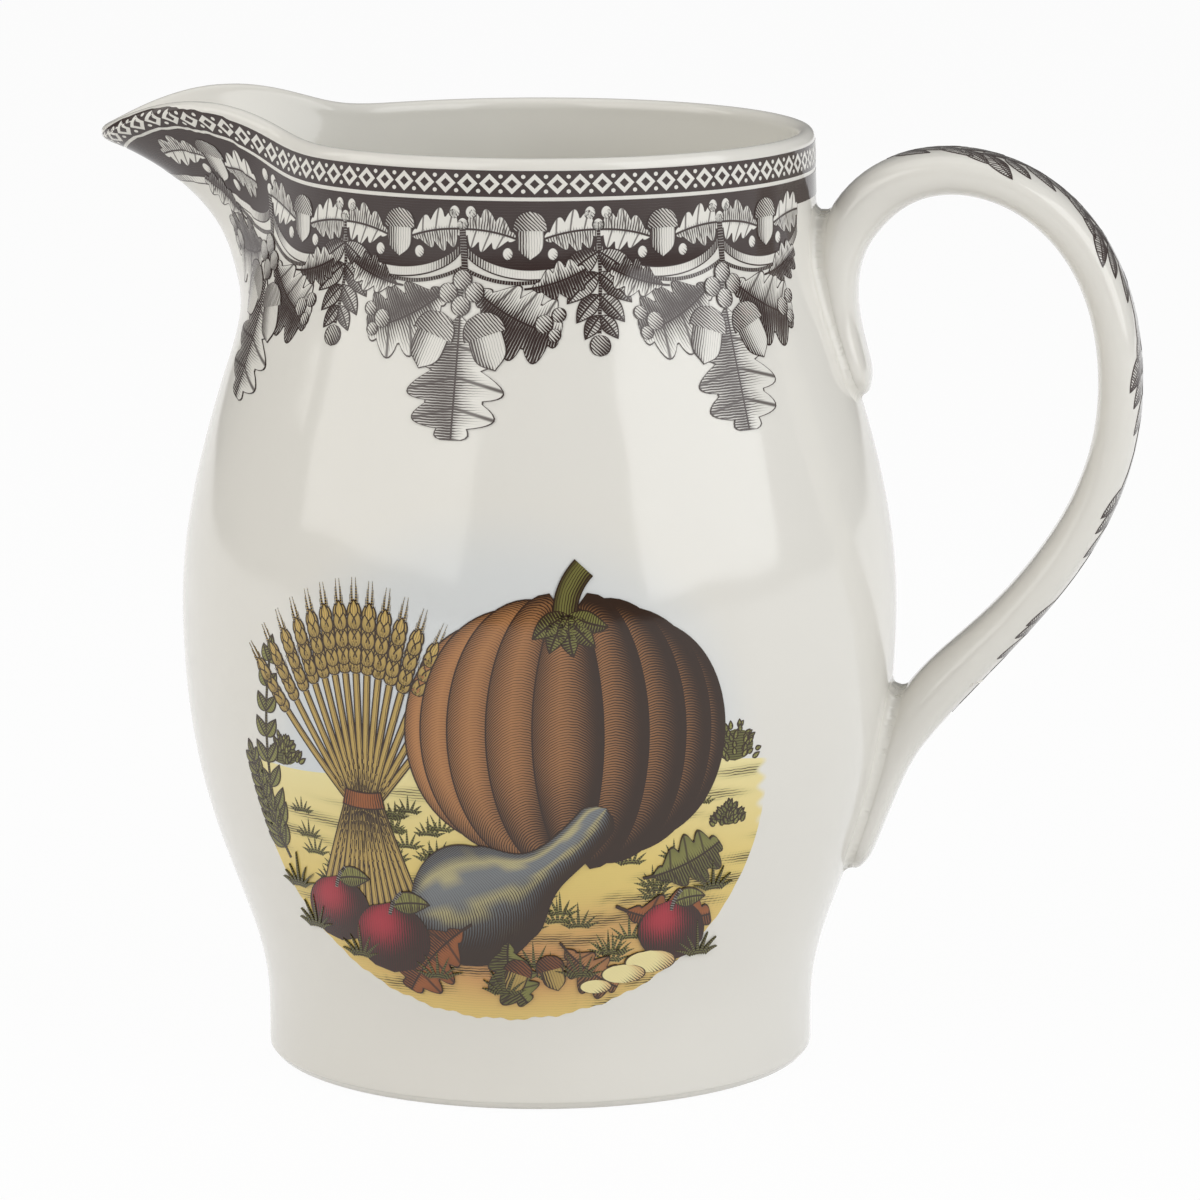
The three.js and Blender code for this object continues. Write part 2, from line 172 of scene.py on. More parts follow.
class Wire:
    """A socket of a finish; sums on it add the Math nodes they need."""

    def __init__(self, finish, socket):
        self.finish = finish
        self.socket = socket

    def maths(self, operation, *values, clamp=False):
        settings = {"operation": operation, "use_clamp": clamp}
        return self.finish.node("ShaderNodeMath", settings, dict(enumerate(values)))

    def __add__(self, other):
        return self.maths("ADD", self, other)

    def __sub__(self, other):
        return self.maths("SUBTRACT", self, other)

    def __rsub__(self, other):
        return self.maths("SUBTRACT", other, self)

    def __mul__(self, other):
        return self.maths("MULTIPLY", self, other)

    def __truediv__(self, other):
        return self.maths("DIVIDE", self, other)

    def __abs__(self):
        return self.maths("ABSOLUTE", self)

    def __mod__(self, other):
        return self.maths("FLOORED_MODULO", self, other)

    __radd__ = __add__
    __rmul__ = __mul__

    def above(self, level, softness):
        """0 below the level and 1 above it, with a soft edge."""
        return self.maths("MULTIPLY_ADD", self - level, 1 / softness, 0.5, clamp=True)

    def most(self, other):
        return self.maths("MAXIMUM", self, other)

    def least(self, other):
        return self.maths("MINIMUM", self, other, clamp=True)


class Finish:
    """A material whose nodes are added one by one round its shader."""

    def __init__(self, name):
        self.material = bpy.data.materials.new(name)
        self.material.use_nodes = True
        self.tree = self.material.node_tree
        self.shader = self.tree.nodes["Principled BSDF"]
        self.output = self.tree.nodes["Material Output"]

    def node(self, kind, settings=None, sockets=None, output=0):
        """Adds a node, sets it up, joins or sets its sockets and gives back one output."""
        made = self.tree.nodes.new(kind)
        for name, value in (settings or {}).items():
            setattr(made, name, value)
        for name, value in (sockets or {}).items():
            self.feed(made.inputs[name], value)
        return Wire(self, made.outputs[output])

    def feed(self, socket, value):
        if isinstance(value, Wire):
            self.tree.links.new(value.socket, socket)
        else:
            socket.default_value = value

    def set(self, **sockets):
        """Feeds the shader's own sockets: Base_Color is the one named Base Color."""
        for name, value in sockets.items():
            self.feed(self.shader.inputs[name.replace("_", " ")], value)

    def attribute(self, name, output="Fac"):
        return self.node("ShaderNodeAttribute", {"attribute_name": name}, output=output)

    def noise(self, scale, detail=2.0):
        place = self.node("ShaderNodeTexCoord", output="Object")
        return self.node("ShaderNodeTexNoise", None, {"Vector": place, "Scale": scale, "Detail": detail})

    def mix(self, share, first, second):
        pick = [value if isinstance(value, Wire) else (*value, 1) for value in (first, second)]
        return self.node("ShaderNodeMix", {"data_type": "RGBA"}, {0: share, 6: pick[0], 7: pick[1]}, 2)


def scaled(numbers, share):
    return tuple(min(1.0, value * share) for value in numbers)


def glaze_gloss(finish, glaze, roughness=None):
    """The glaze's gloss: slow waves, and a surface that is a little duller in patches."""
    waves = finish.noise(38.0, 1.0)
    pits = finish.noise(900.0, 1.0)
    bump = {"Height": waves + pits * 0.015, "Strength": glaze.waviness, "Distance": 0.01}
    finish.set(Normal=finish.node("ShaderNodeBump", None, bump),
               Roughness=(roughness or glaze.roughness) + (finish.noise(55.0) - 0.5) * 0.06, IOR=1.5)


def glaze_finish(name, glaze, base):
    """White glaze with faint cloudiness; the bare foot ring has its own colour, and the inside is mixed
    towards a darker, greener colour as painted shade.
    """
    finish = Finish(name)
    cloud = finish.mix(finish.noise(22.0, 3.0), scaled(base, 0.975), scaled(base, 1.02))
    # Painted shade inside the mouth, mixed in where the inside attribute is high
    shaded_walls = finish.mix(finish.attribute("inside"), cloud, glaze.inside)
    grit = finish.mix(finish.noise(1400.0, 2.0), scaled(glaze.bare_clay, 0.86), glaze.bare_clay)
    finish.set(Base_Color=finish.mix(finish.attribute("bare"), shaded_walls, grit))
    glaze_gloss(finish, glaze, finish.attribute("bare") * 0.6 + glaze.roughness)
    return finish.material


# Meshes

def start_fresh():
    """Leaves edit mode with nothing selected."""
    if bpy.context.object and bpy.context.object.mode != "OBJECT":
        bpy.ops.object.mode_set(mode="OBJECT")
    bpy.ops.object.select_all(action="DESELECT")


def put(name, data):
    """A new object in the scene."""
    piece = bpy.data.objects.new(name, data)
    bpy.context.scene.collection.objects.link(piece)
    return piece


def take_up(piece):
    start_fresh()
    piece.select_set(True)
    bpy.context.view_layer.objects.active = piece


def pick(piece, kind, test):
    """In edit mode, selects the verts, edges or faces that pass a test."""
    bpy.ops.mesh.select_all(action="DESELECT")
    mesh = bmesh.from_edit_mesh(piece.data)
    for item in getattr(mesh, kind):
        item.select_set(bool(test(item)))
    bmesh.update_edit_mesh(piece.data)


def read_points(mesh, kind="co"):
    numbers = np.empty(len(mesh.vertices) * 3, np.float32)
    mesh.vertices.foreach_get(kind, numbers)
    return numbers.reshape(-1, 3).astype(float)


def write_points(mesh, points):
    mesh.vertices.foreach_set("co", points.astype(np.float32).ravel())
    mesh.update()


def mark(mesh, name, values):
    """Keeps one number for each point of a mesh, for its finish to read."""
    layer = mesh.attributes.new(name, "FLOAT", "POINT")
    layer.data.foreach_set("value", np.asarray(values, np.float32).ravel())


def apply_modifier(piece, kind, **settings):
    take_up(piece)
    modifier = piece.modifiers.new(kind.lower(), kind)
    for name, value in settings.items():
        setattr(modifier, name, value)
    bpy.ops.object.modifier_apply(modifier=modifier.name)


def smoothed_copy(node, name, on_edge, sharpness):
    """A copy of a CAD node with its triangles merged to quads and rounded off; on_edge(point) picks the
    points whose edges keep that sharpness. The cage is swollen first, so that the rounded skin still runs
    through the CAD's points."""
    piece = put(name, frame["nodes"][node].data.copy())
    take_up(piece)
    bpy.ops.mesh.customdata_custom_splitnormals_clear()
    bpy.ops.object.mode_set(mode="EDIT")
    bpy.ops.mesh.select_all(action="SELECT")
    bpy.ops.mesh.remove_doubles(threshold=WELD)
    bpy.ops.mesh.tris_convert_to_quads(face_threshold=PAIRING, shape_threshold=PAIRING, topology_influence=2)
    pick(piece, "edges", lambda edge: all(on_edge(vertex.co) for vertex in edge.verts))
    bpy.ops.transform.edge_crease(value=sharpness)
    bpy.ops.object.mode_set(mode="OBJECT")
    modifier = piece.modifiers.new("round", "SUBSURF")
    modifier.levels = modifier.render_levels = 2
    wanted = read_points(piece.data)
    cage = wanted.copy()
    for _ in range(3):
        skin = piece.evaluated_get(bpy.context.evaluated_depsgraph_get()).data
        cage += wanted - read_points(skin)[:len(wanted)]
        write_points(piece.data, cage)
    bpy.ops.object.modifier_apply(modifier=modifier.name)
    write_points(piece.data, np.clip(read_points(piece.data), *map(np.array, CAD_BOX)))
    bpy.ops.object.shade_smooth_by_angle(angle=math.radians(40), keep_sharp_edges=False)
    return piece


def dress(piece, material, slot, *nodes):
    """Gives a finished piece its material and puts it in the place of its CAD nodes."""
    piece.data.materials.clear()
    piece.data.materials.append(material)
    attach(piece, "root")
    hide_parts(*nodes)


def smooth(low, high, value):
    share = np.clip((value - low) / (high - low), 0, 1)
    return share * share * (3 - 2 * share)


def unit(vectors):
    return vectors / np.maximum(np.linalg.norm(vectors, axis=-1, keepdims=True), 1e-12)


def feeler(piece):
    """A tree that answers where a piece's surface is."""
    return BVHTree.FromObject(piece, bpy.context.evaluated_depsgraph_get())


# Prints

class PrintSettings(bpy.types.PropertyGroup):
    """Inks and line work shared by all the prints"""

    sepia: colour("Sepia ink", "Ink of the border and of the handle's strip", 50, 33, 31)
    umber: colour("Umber ink", "Line work of the medallion", 54, 37, 27)
    spacing: length("Line spacing", "Distance between engraved lines", 0.56)
    outline: length("Outline", "Width of the lines round each shape", 0.3)
    ground: length("Ground", "How far the lowest layer of ink stands off the clay", 0.07)
    step: length("Layer", "How far each layer of ink stands off the one below", 0.028)


class BorderSettings(bpy.types.PropertyGroup):
    """Border under the lip: an edging, a dark scalloped band, and drops of leaves and acorns"""

    top: length("Top", "From the crown of the lip to the edging", 3.4)
    edging: length("Edging", "Depth of the edging", 5.4)
    band_top: length("Band top", "From the crown of the lip to the dark band", 9.6)
    band: length("Band", "Depth of the dark band where two scallops meet", 8.0)
    scallop: length("Scallop", "How far a scallop hangs below that", 6.5)
    ribbon: length("Ribbon", "Width of the ribbon along the scallops", 2.3)
    scallops: IntProperty(name="Scallops", description="Scallops on each half", min=2, default=6)
    lozenge: length("Lozenge", "Length of one lozenge of the edging", 4.6)


class MedallionSettings(bpy.types.PropertyGroup):
    """Harvest picture on both sides of the belly"""

    sky: colour("Sky", "Pale wash behind the harvest", 217, 221, 225)
    far_field: colour("Far field", "Field at the horizon", 240, 226, 166)
    field: colour("Field", "Field in the middle distance", 230, 204, 122)
    soil: colour("Soil", "Ground in front", 208, 150, 96)
    rind_light: colour("Rind, light", "Lit part of the pumpkin's ribs", 186, 130, 82)
    rind_dark: colour("Rind, dark", "Shaded part of the pumpkin's ribs", 50, 32, 24)
    gourd: colour("Gourd", "Slate gourd", 138, 142, 146)
    apple: colour("Apple", "Crimson apples", 152, 42, 54)
    straw: colour("Straw", "Wheat", 206, 174, 100)
    russet: colour("Russet", "Turned oak leaves", 168, 98, 52)
    olive: colour("Olive", "Green oak leaves and grass", 140, 138, 74)


def sample(table, row, column):
    """Reads a table between its entries."""
    i = np.clip(row.astype(int), 0, table.shape[0] - 2)
    j = np.clip(column.astype(int), 0, table.shape[1] - 2)
    a, b = row - i, column - j
    if table.ndim == 3:
        a, b = a[:, None], b[:, None]
    low = table[i, j] * (1 - a) + table[i + 1, j] * a
    high = table[i, j + 1] * (1 - a) + table[i + 1, j + 1] * a
    return low * (1 - b) + high * b


class Wall:
    """The outside of the body, felt from all round; angles are from the spout, to the right as seen from
    outside."""

    STEP = 0.5 * MM
    TURNS = 721
    LOWEST = 5 * MM
    DEEPEST = 90 * MM
    # Where the feelers start, how far they reach inwards, and the halvings that find the crown of the lip
    START = 0.2
    REACH = 0.19
    HALVINGS = 12

    def __init__(self, body):
        tree = feeler(body)
        self.angles = np.linspace(-math.pi, math.pi, self.TURNS)
        self.heights = np.arange(read_points(body.data)[:, 2].max(), self.LOWEST, -self.STEP)
        radii = np.full((self.TURNS, len(self.heights)), np.nan)
        crowns = np.empty((self.TURNS, 2))
        for i, angle in enumerate(self.angles):
            out = Vector((math.cos(angle + SPOUT_AZIMUTH), math.sin(angle + SPOUT_AZIMUTH), 0))
            start = AXIS + out * self.START

            def feel(height):
                start.z = height
                hit = tree.ray_cast(start, -out, self.REACH)[0]
                return hit and (hit - AXIS).dot(out)

            radii[i] = [feel(height) or np.nan for height in self.heights]
            first = np.flatnonzero(~np.isnan(radii[i]))[0]
            low, high = self.heights[first], self.heights[max(first - 1, 0)]
            crowns[i] = radii[i, first], low
            for _ in range(self.HALVINGS):
                radius = feel((low + high) / 2)
                if radius:
                    crowns[i] = radius, start.z
                low, high = (start.z, high) if radius else (low, start.z)
        depths = np.arange(0, self.DEEPEST, self.STEP)
        radius_below, height_below = (np.empty((self.TURNS, len(depths))) for _ in range(2))
        for i in range(self.TURNS):
            seen = ~np.isnan(radii[i])
            radius = np.r_[crowns[i, 0], radii[i, seen]]
            height = np.r_[crowns[i, 1], self.heights[seen]]
            run = np.r_[0, np.cumsum(np.hypot(np.diff(radius), np.diff(height)))]
            radius_below[i] = np.interp(depths, run, radius)
            height_below[i] = np.interp(depths, run, height)
            radii[i, ~seen] = radius[0]
        self.radii = radii
        self.beside = self.points(radii, np.broadcast_to(self.heights, radii.shape))
        self.below = self.points(radius_below, height_below)
        self.beside_out, self.below_out = self.outward(self.beside), self.outward(self.below)
        steps = np.linalg.norm(np.diff(self.below, axis=0), axis=2)
        run = np.concatenate([np.zeros((1, len(depths))), np.cumsum(steps, axis=0)])
        self.run = run - run[self.TURNS // 2]
        self.pace = np.gradient(self.run, self.angles, axis=0)

    def points(self, radius, height):
        azimuth = (self.angles + SPOUT_AZIMUTH)[:, None]
        return np.stack([AXIS.x + radius * np.cos(azimuth), radius * np.sin(azimuth), height], axis=2)

    def outward(self, points):
        return unit(np.cross(np.gradient(points, axis=1), np.gradient(points, axis=0)))

    def row(self, angle):
        return (angle + math.pi) % (2 * math.pi) / (2 * math.pi) * (self.TURNS - 1)

    def read(self, places, outward, angle, column):
        row = self.row(angle)
        return sample(places, row, column), unit(sample(outward, row, column))

    def way(self, angle, column):
        """Distance from the spout along the wall, counted on past the handle."""
        whole = sample(self.run, 0 * column + self.TURNS - 1, column) - sample(self.run, 0 * column, column)
        return sample(self.run, self.row(angle), column) + np.floor((angle / math.pi + 1) / 2) * whole

    def under_lip(self, angle, aside, depth):
        """Points and outward directions so far aside of an angle and so deep under the lip."""
        column = depth / self.STEP
        target = self.way(angle, column) + aside
        spot = np.array(angle, float)
        for _ in range(6):
            spot = spot + (target - self.way(spot, column)) / sample(self.pace, self.row(spot), column)
        return self.read(self.below, self.below_out, spot, column)

    def at_height(self, angle, aside, height):
        """Points and outward directions so far aside of an angle at a height over the table."""
        column = (self.heights[0] - height) / self.STEP
        spot = angle + aside / sample(self.radii, self.row(angle), column)
        return self.read(self.beside, self.beside_out, spot, column)


@lru_cache(maxsize=None)
def wall():
    return Wall(bpy.data.objects["body"])


class Blank:
    """A flat shape to copy into the artwork: a grid of unit length, drawn in row by row to its outline."""

    LEAST = 0.004

    def __init__(self, columns, rows, outline):
        start_fresh()
        bpy.ops.mesh.primitive_grid_add(x_subdivisions=columns, y_subdivisions=rows, size=2)
        piece = bpy.context.object
        flat = read_points(piece.data)
        self.along, self.across = (flat[:, 1] + 1) / 2, flat[:, 0]
        bpy.ops.object.mode_set(mode="EDIT")
        for level in np.unique(np.round(flat[:, 1], 5)):
            pick(piece, "verts", lambda vertex: abs(vertex.co.y - level) < 1e-4)
            width = max(outline((level + 1) / 2), self.LEAST)
            bpy.ops.transform.resize(value=(width, 1, 1), center_override=(0, level, 0))
        bpy.ops.object.mode_set(mode="OBJECT")
        self.reach = read_points(piece.data)[:, 0]
        edge = np.abs(self.across) > 0.999
        widths = dict(zip(np.round(self.along[edge], 5), np.abs(self.reach[edge])))
        self.width = np.array([widths[level] for level in np.round(self.along, 5)])
        self.faces = np.array([list(face.vertices) for face in piece.data.polygons])
        bpy.data.objects.remove(piece)


def round_outline(u):
    return math.sqrt(max(0.0, 1 - (2 * u - 1) ** 2))


def oak_outline(u):
    """A short stalk, then rounded lobes that are widest beyond the middle."""
    t = max(0.0, (u - 0.12) / 0.88)
    lobes = 0.5 + 0.5 * abs(math.cos(math.pi * 4 * t)) ** 0.8
    return max(0.05 * (u < 0.2), math.sin(math.pi * t ** 1.1) ** 0.62 * lobes)


OUTLINES = {
    "oak": (8, 44, oak_outline),
    "lance": (4, 16, lambda u: math.sin(math.pi * u ** 0.8) ** 0.9),
    "disc": (8, 14, round_outline),
    "nut": (6, 14, lambda u: (1 - (2 * u - 0.75) ** 4 / 2.5) * math.sqrt(max(0.0, 1 - u ** 6))),
    "cup": (6, 8, lambda u: math.sqrt(max(0.0, 1 - (1 - u) ** 2.4))),
    "ribbon": (3, 24, lambda u: 1.0),
    "blade": (2, 10, lambda u: (1 - u) ** 0.7),
    "grain": (2, 8, lambda u: math.sin(math.pi * u ** 0.75) ** 0.8),
    "rib": (8, 48, lambda u: 0.3 + 0.7 * math.sin(math.pi * u) ** 0.7 if 0 < u < 1 else 0.02),
    "gourd": (12, 56, lambda u: max(math.sqrt(max(0.0, 1 - ((u - 0.27) / 0.27) ** 2)),
                                    (0.36 - 0.06 * u) * math.sqrt(max(0.0, min(1, (1 - u) / 0.06)))
                                    + 0.5 * math.exp(-((u - 0.42) / 0.13) ** 2) * (u > 0.27))),
    "lozenge": (6, 8, lambda u: 1 - abs(2 * u - 1)),
    "bead": (4, 6, round_outline),
}


@lru_cache(maxsize=None)
def blank(name):
    return Blank(*OUTLINES[name])


def blend(share, first, second):
    share = np.clip(np.asarray(share, float), 0, 1)[:, None]
    return np.asarray(first) * (1 - share) + np.asarray(second) * share


class Artwork:
    """Flat artwork in millimetres, gathered shape by shape before it is laid on the clay. For each point it
    keeps the place, the layer, how dark it is, how far it is from the shape's edge and middle, and the
    coordinates that its engraved lines and veins count along."""

    def __init__(self, paper):
        self.paper = tuple(paper)
        self.parts = []

    def add(self, faces, wash, **numbers):
        count = len(numbers["up"])
        whole = {name: np.broadcast_to(np.asarray(value, float), count) for name, value in numbers.items()}
        self.parts.append((np.asarray(faces), np.broadcast_to(np.asarray(wash, float), (count, 3)), whole))

    def lay(self, shape, at, size, turn=90.0, bend=0.0, sweep=0.0, path=None, angle=0.0, layer=1, tone=0.3,
            wash=None, lines="across", bow=0.0, veins=0, rib=False, edge=1.0):
        """Lays a copy of a blank: at its foot, with its length and half width, turned and bent in degrees."""
        pattern = blank(shape)
        long, half = size
        u, v = pattern.along, pattern.across
        side = pattern.reach * half
        run = u + sweep * np.abs(side) / long
        if path is None:
            start, swing = math.radians(turn), math.radians(bend) or 1e-4
            heading = start + swing * run
            centre = np.stack([np.sin(heading) - math.sin(start), math.cos(start) - np.cos(heading)], 1)
            centre = np.asarray(at, float) + centre * long / swing
        else:
            path = np.asarray(path, float)
            steps = np.r_[0, np.cumsum(np.linalg.norm(np.diff(path, axis=0), axis=1))]
            long = steps[-1]
            centre = np.stack([np.interp(run * long, steps, path[:, k]) for k in (0, 1)], 1)
            slope = np.gradient(path, steps, axis=0)
            heading = np.arctan2(np.interp(run * long, steps, slope[:, 1]),
                                 np.interp(run * long, steps, slope[:, 0]))
        flat = centre + side[:, None] * np.stack([np.sin(heading), -np.cos(heading)], 1)
        counts = {"across": run * long + bow * np.abs(side * v), "along": side, "slant": flat.sum(1) * 0.7}
        tone = tone(u, v) if callable(tone) else tone
        wash = self.paper if wash is None else wash
        self.add(pattern.faces, wash(u, v) if callable(wash) else wash, angle=angle, aside=flat[:, 0],
                 up=flat[:, 1], layer=layer, tone=tone, hatch=counts[lines], vein=u * veins,
                 rib=np.abs(side) if rib else FAR,
                 edge=(1 - np.abs(v)) * pattern.width * half * 0.9 * edge if edge else FAR)

    def sheet(self, angle, aside, up, layer, tone, wash=None, hatch=None, edge=FAR):
        """Lays a sheet given as tables of places, row by row upwards."""
        rows, columns = up.shape
        first = (np.arange(rows - 1)[:, None] * columns + np.arange(columns - 1)).ravel()
        faces = np.stack([first, first + 1, first + columns + 1, first + columns], 1)
        flat = {name: np.broadcast_to(value, up.shape).ravel() for name, value in
                dict(angle=angle, aside=aside, up=up, tone=tone, edge=edge).items()}
        hatch = flat["up"] if hatch is None else np.broadcast_to(hatch, up.shape).ravel()
        wash = self.paper if wash is None else np.asarray(wash).reshape(-1, 3)
        self.add(faces, wash, layer=layer, hatch=hatch, vein=0.0, rib=FAR, **flat)

    def laid(self, name, place, settings, mirrored=False):
        """Makes the piece: place(angle, aside, up) gives points on the clay and directions out of it."""
        firsts = np.cumsum([0] + [len(part[1]) for part in self.parts])
        faces = np.concatenate([part[0] + first for part, first in zip(self.parts, firsts)])
        numbers = {key: np.concatenate([part[2][key] for part in self.parts]) for key in self.parts[0][2]}
        sign = -1 if mirrored else 1
        points, outward = place(numbers["angle"] * sign, numbers["aside"] * MM * sign, numbers["up"] * MM)
        lift = settings.ground + settings.step * numbers["layer"]
        mesh = bpy.data.meshes.new(name)
        mesh.from_pydata(points + outward * lift[:, None], [], faces[:, ::sign].tolist())
        piece = put(name, mesh)
        for key in ("tone", "hatch", "vein", "rib", "edge"):
            mark(mesh, key, numbers[key])
        wash = np.concatenate([part[1] for part in self.parts])
        layer = mesh.attributes.new("wash", "FLOAT_COLOR", "POINT")
        layer.data.foreach_set("color", np.c_[wash, np.ones(len(wash))].astype(np.float32).ravel())
        group = piece.vertex_groups.new(name="lift")
        for value in np.unique(lift):
            group.add(np.flatnonzero(lift == value).tolist(), value / lift.max(), "REPLACE")
        apply_modifier(piece, "SOLIDIFY", thickness=lift.max(), offset=-1, vertex_group="lift")
        bpy.ops.object.shade_smooth_by_angle(angle=math.radians(30))
        return piece


def print_finish(name, scene, ink_colour, stipple):
    """Engraved line work and washes of colour under the glaze; stipple is the share of the shading that is
    in dots too fine to see one by one."""
    settings = scene.pitcher_print
    finish = Finish(name)
    hatch = finish.attribute("hatch") + (finish.noise(420.0) - 0.5) * 0.5
    gap = abs(hatch / (settings.spacing / MM) % 1.0 - 0.5) * 2
    tone = finish.attribute("tone") + (finish.noise(150.0) - 0.5) * 0.12
    outline = 1 - finish.attribute("edge").above(settings.outline / MM, 0.16)
    vein = 1 - abs(finish.attribute("vein") % 1.0 - 0.5).above(0.06, 0.06)
    rib = 1 - finish.attribute("rib").above(0.24, 0.16)
    ink = (tone - gap).above(0, 0.32).most(outline).most(vein * 0.85).most(rib)
    worn = 1.0 - finish.noise(60.0) * 0.05
    cloud = finish.mix(finish.noise(22.0, 3.0), (0.975,) * 3, (1.02,) * 3)
    wash = finish.node("ShaderNodeMix", {"data_type": "RGBA", "blend_type": "MULTIPLY"},
                       {0: 1.0, 6: finish.attribute("wash", "Color"), 7: cloud}, 2)
    dots = (finish.attribute("tone") * stipple).least(0.6)
    finish.set(Base_Color=finish.mix((ink * worn).most(dots), wash, ink_colour))
    glaze_gloss(finish, scene.pitcher_glaze)
    return finish.material


# Motifs of the border

def oak_leaf(art, at, long, turn, bend=0, layer=1, angle=0.0, wide=0.33, dark=0.25, **more):
    """An oak leaf, darker along its middle and on one half."""
    def tone(u, v):
        half = 0.4 * np.sign(v) * np.abs(v) ** 0.3
        return dark + 0.4 * (1 - np.abs(v)) ** 2 + half - 0.25 * smooth(0.6, 1, np.abs(v))

    art.lay("oak", at, (long, long * wide), turn, bend, sweep=0.28, layer=layer, angle=angle, tone=tone,
            lines="across", veins=4.545, rib=True, **more)


def lance_leaf(art, at, size, turn, bend=0.0, dark=0.2, shaded=0.4, side=1, fade=0.0, **more):
    """A narrow leaf with a midrib and one half in the shade."""
    art.lay("lance", at, size, turn, bend, rib=True,
            tone=lambda u, v: dark + shaded * (v * side > 0) - fade * u, **more)


def towards(turn):
    return np.array([math.cos(math.radians(turn)), math.sin(math.radians(turn))])


def acorn(art, at, long, turn, layer=2, angle=0.0, nut_wash=None, cup_wash=None):
    """An acorn hanging from its cup."""
    art.lay("nut", np.asarray(at) + towards(turn) * long * 0.28, (long * 0.72, long * 0.29), turn,
            layer=layer, angle=angle, wash=nut_wash, lines="along",
            tone=lambda u, v: 0.05 + 0.75 * smooth(-0.2, 1, v) + 0.15 * smooth(0.3, 0, u))
    art.lay("cup", at, (long * 0.4, long * 0.36), turn, layer=layer + 1, angle=angle, wash=cup_wash,
            lines="slant", tone=lambda u, v: 0.45 + 0.35 * smooth(-0.4, 1, v))


def berry(art, at, radius, layer=2, angle=0.0, dark=0.35):
    """A round berry, lit from the upper left."""
    art.lay("disc", (at[0], at[1] - radius), (2 * radius, radius), layer=layer, angle=angle, lines="slant",
            tone=lambda u, v: dark + 0.5 * smooth(-0.4, 1.0, v * 0.7 - (2 * u - 1) * 0.6))


def stalk(art, path, half, layer=1, angle=0.0, wash=None, tone=0.9):
    art.lay("ribbon", None, (1, half), path=path, layer=layer, angle=angle, wash=wash, tone=tone, edge=0)


def arc_path(start, turn, long, bend, count=14):
    """Points along a bent line."""
    heading = np.radians(turn + bend * np.linspace(0, 1, count))
    steps = np.stack([np.cos(heading), np.sin(heading)], 1) * long / (count - 1)
    return np.asarray(start, float) + np.r_[[[0, 0]], np.cumsum(steps[:-1], axis=0)]


def large_drop(art, angle, top, size):
    """Oak leaves, two acorns and berries, hung from the band by a stalk."""
    def at(x, y):
        return x * size, top + y * size

    stalk(art, [at(0, 2), at(0.4, -4), at(-0.4, -9)], 0.5 * size, 3, angle)
    for side in (-1, 1):
        stalk(art, arc_path(at(0, -4), -90 + side * 62, 14 * size, side * 46), 0.3 * size, 2, angle)
        for spot, long, turn, bend, layer, wide in (((side * 0.8, -6), 17.5, 44, 34, 3, 0.36),
                                                    ((side * 9.8, -7.2), 10, 96, 24, 4, 0.33)):
            oak_leaf(art, at(*spot), long * size, -90 + side * turn, side * bend, layer, angle, wide, 0.55)
        acorn(art, at(side * 2.9, -11), 9.6 * size, -90 + side * 20, 7, angle)
        for x, y, radius in ((13.2, -12.6, 1.5), (15.4, -11.2, 1.2), (14.9, -14.4, 1.1)):
            berry(art, at(side * x, y), radius * size, 5, angle)
    oak_leaf(art, at(0, -9), 22 * size, -90, 0, 5, angle, wide=0.36, dark=0.36)
    for x, y in ((0, -10), (-2.1, -8), (2.1, -7.8), (0.1, -5.9)):
        berry(art, at(x, y), 1.6 * size, 9, angle)


def small_drop(art, angle, top, size):
    """A sprig of lance leaves with a berry at its foot."""
    def at(x, y):
        return x * size, top + y * size

    stalk(art, [at(0, 2), at(0.3, -6), at(-0.3, -15)], 0.3 * size, 2, angle)
    for k, y in enumerate((-1.5, -5.0, -8.6, -12)):
        for side in (-1, 1):
            lance_leaf(art, at(0, y), (size * (8.8 - 1.3 * k), size * (2.1 - 0.25 * k)),
                       -90 + side * (60 - 6 * k), side * -14, 0.55, 0.5, fade=0.2, layer=3, angle=angle,
                       veins=4)
    berry(art, at(-0.3, -17), 1.8 * size, 4, angle, dark=0.5)


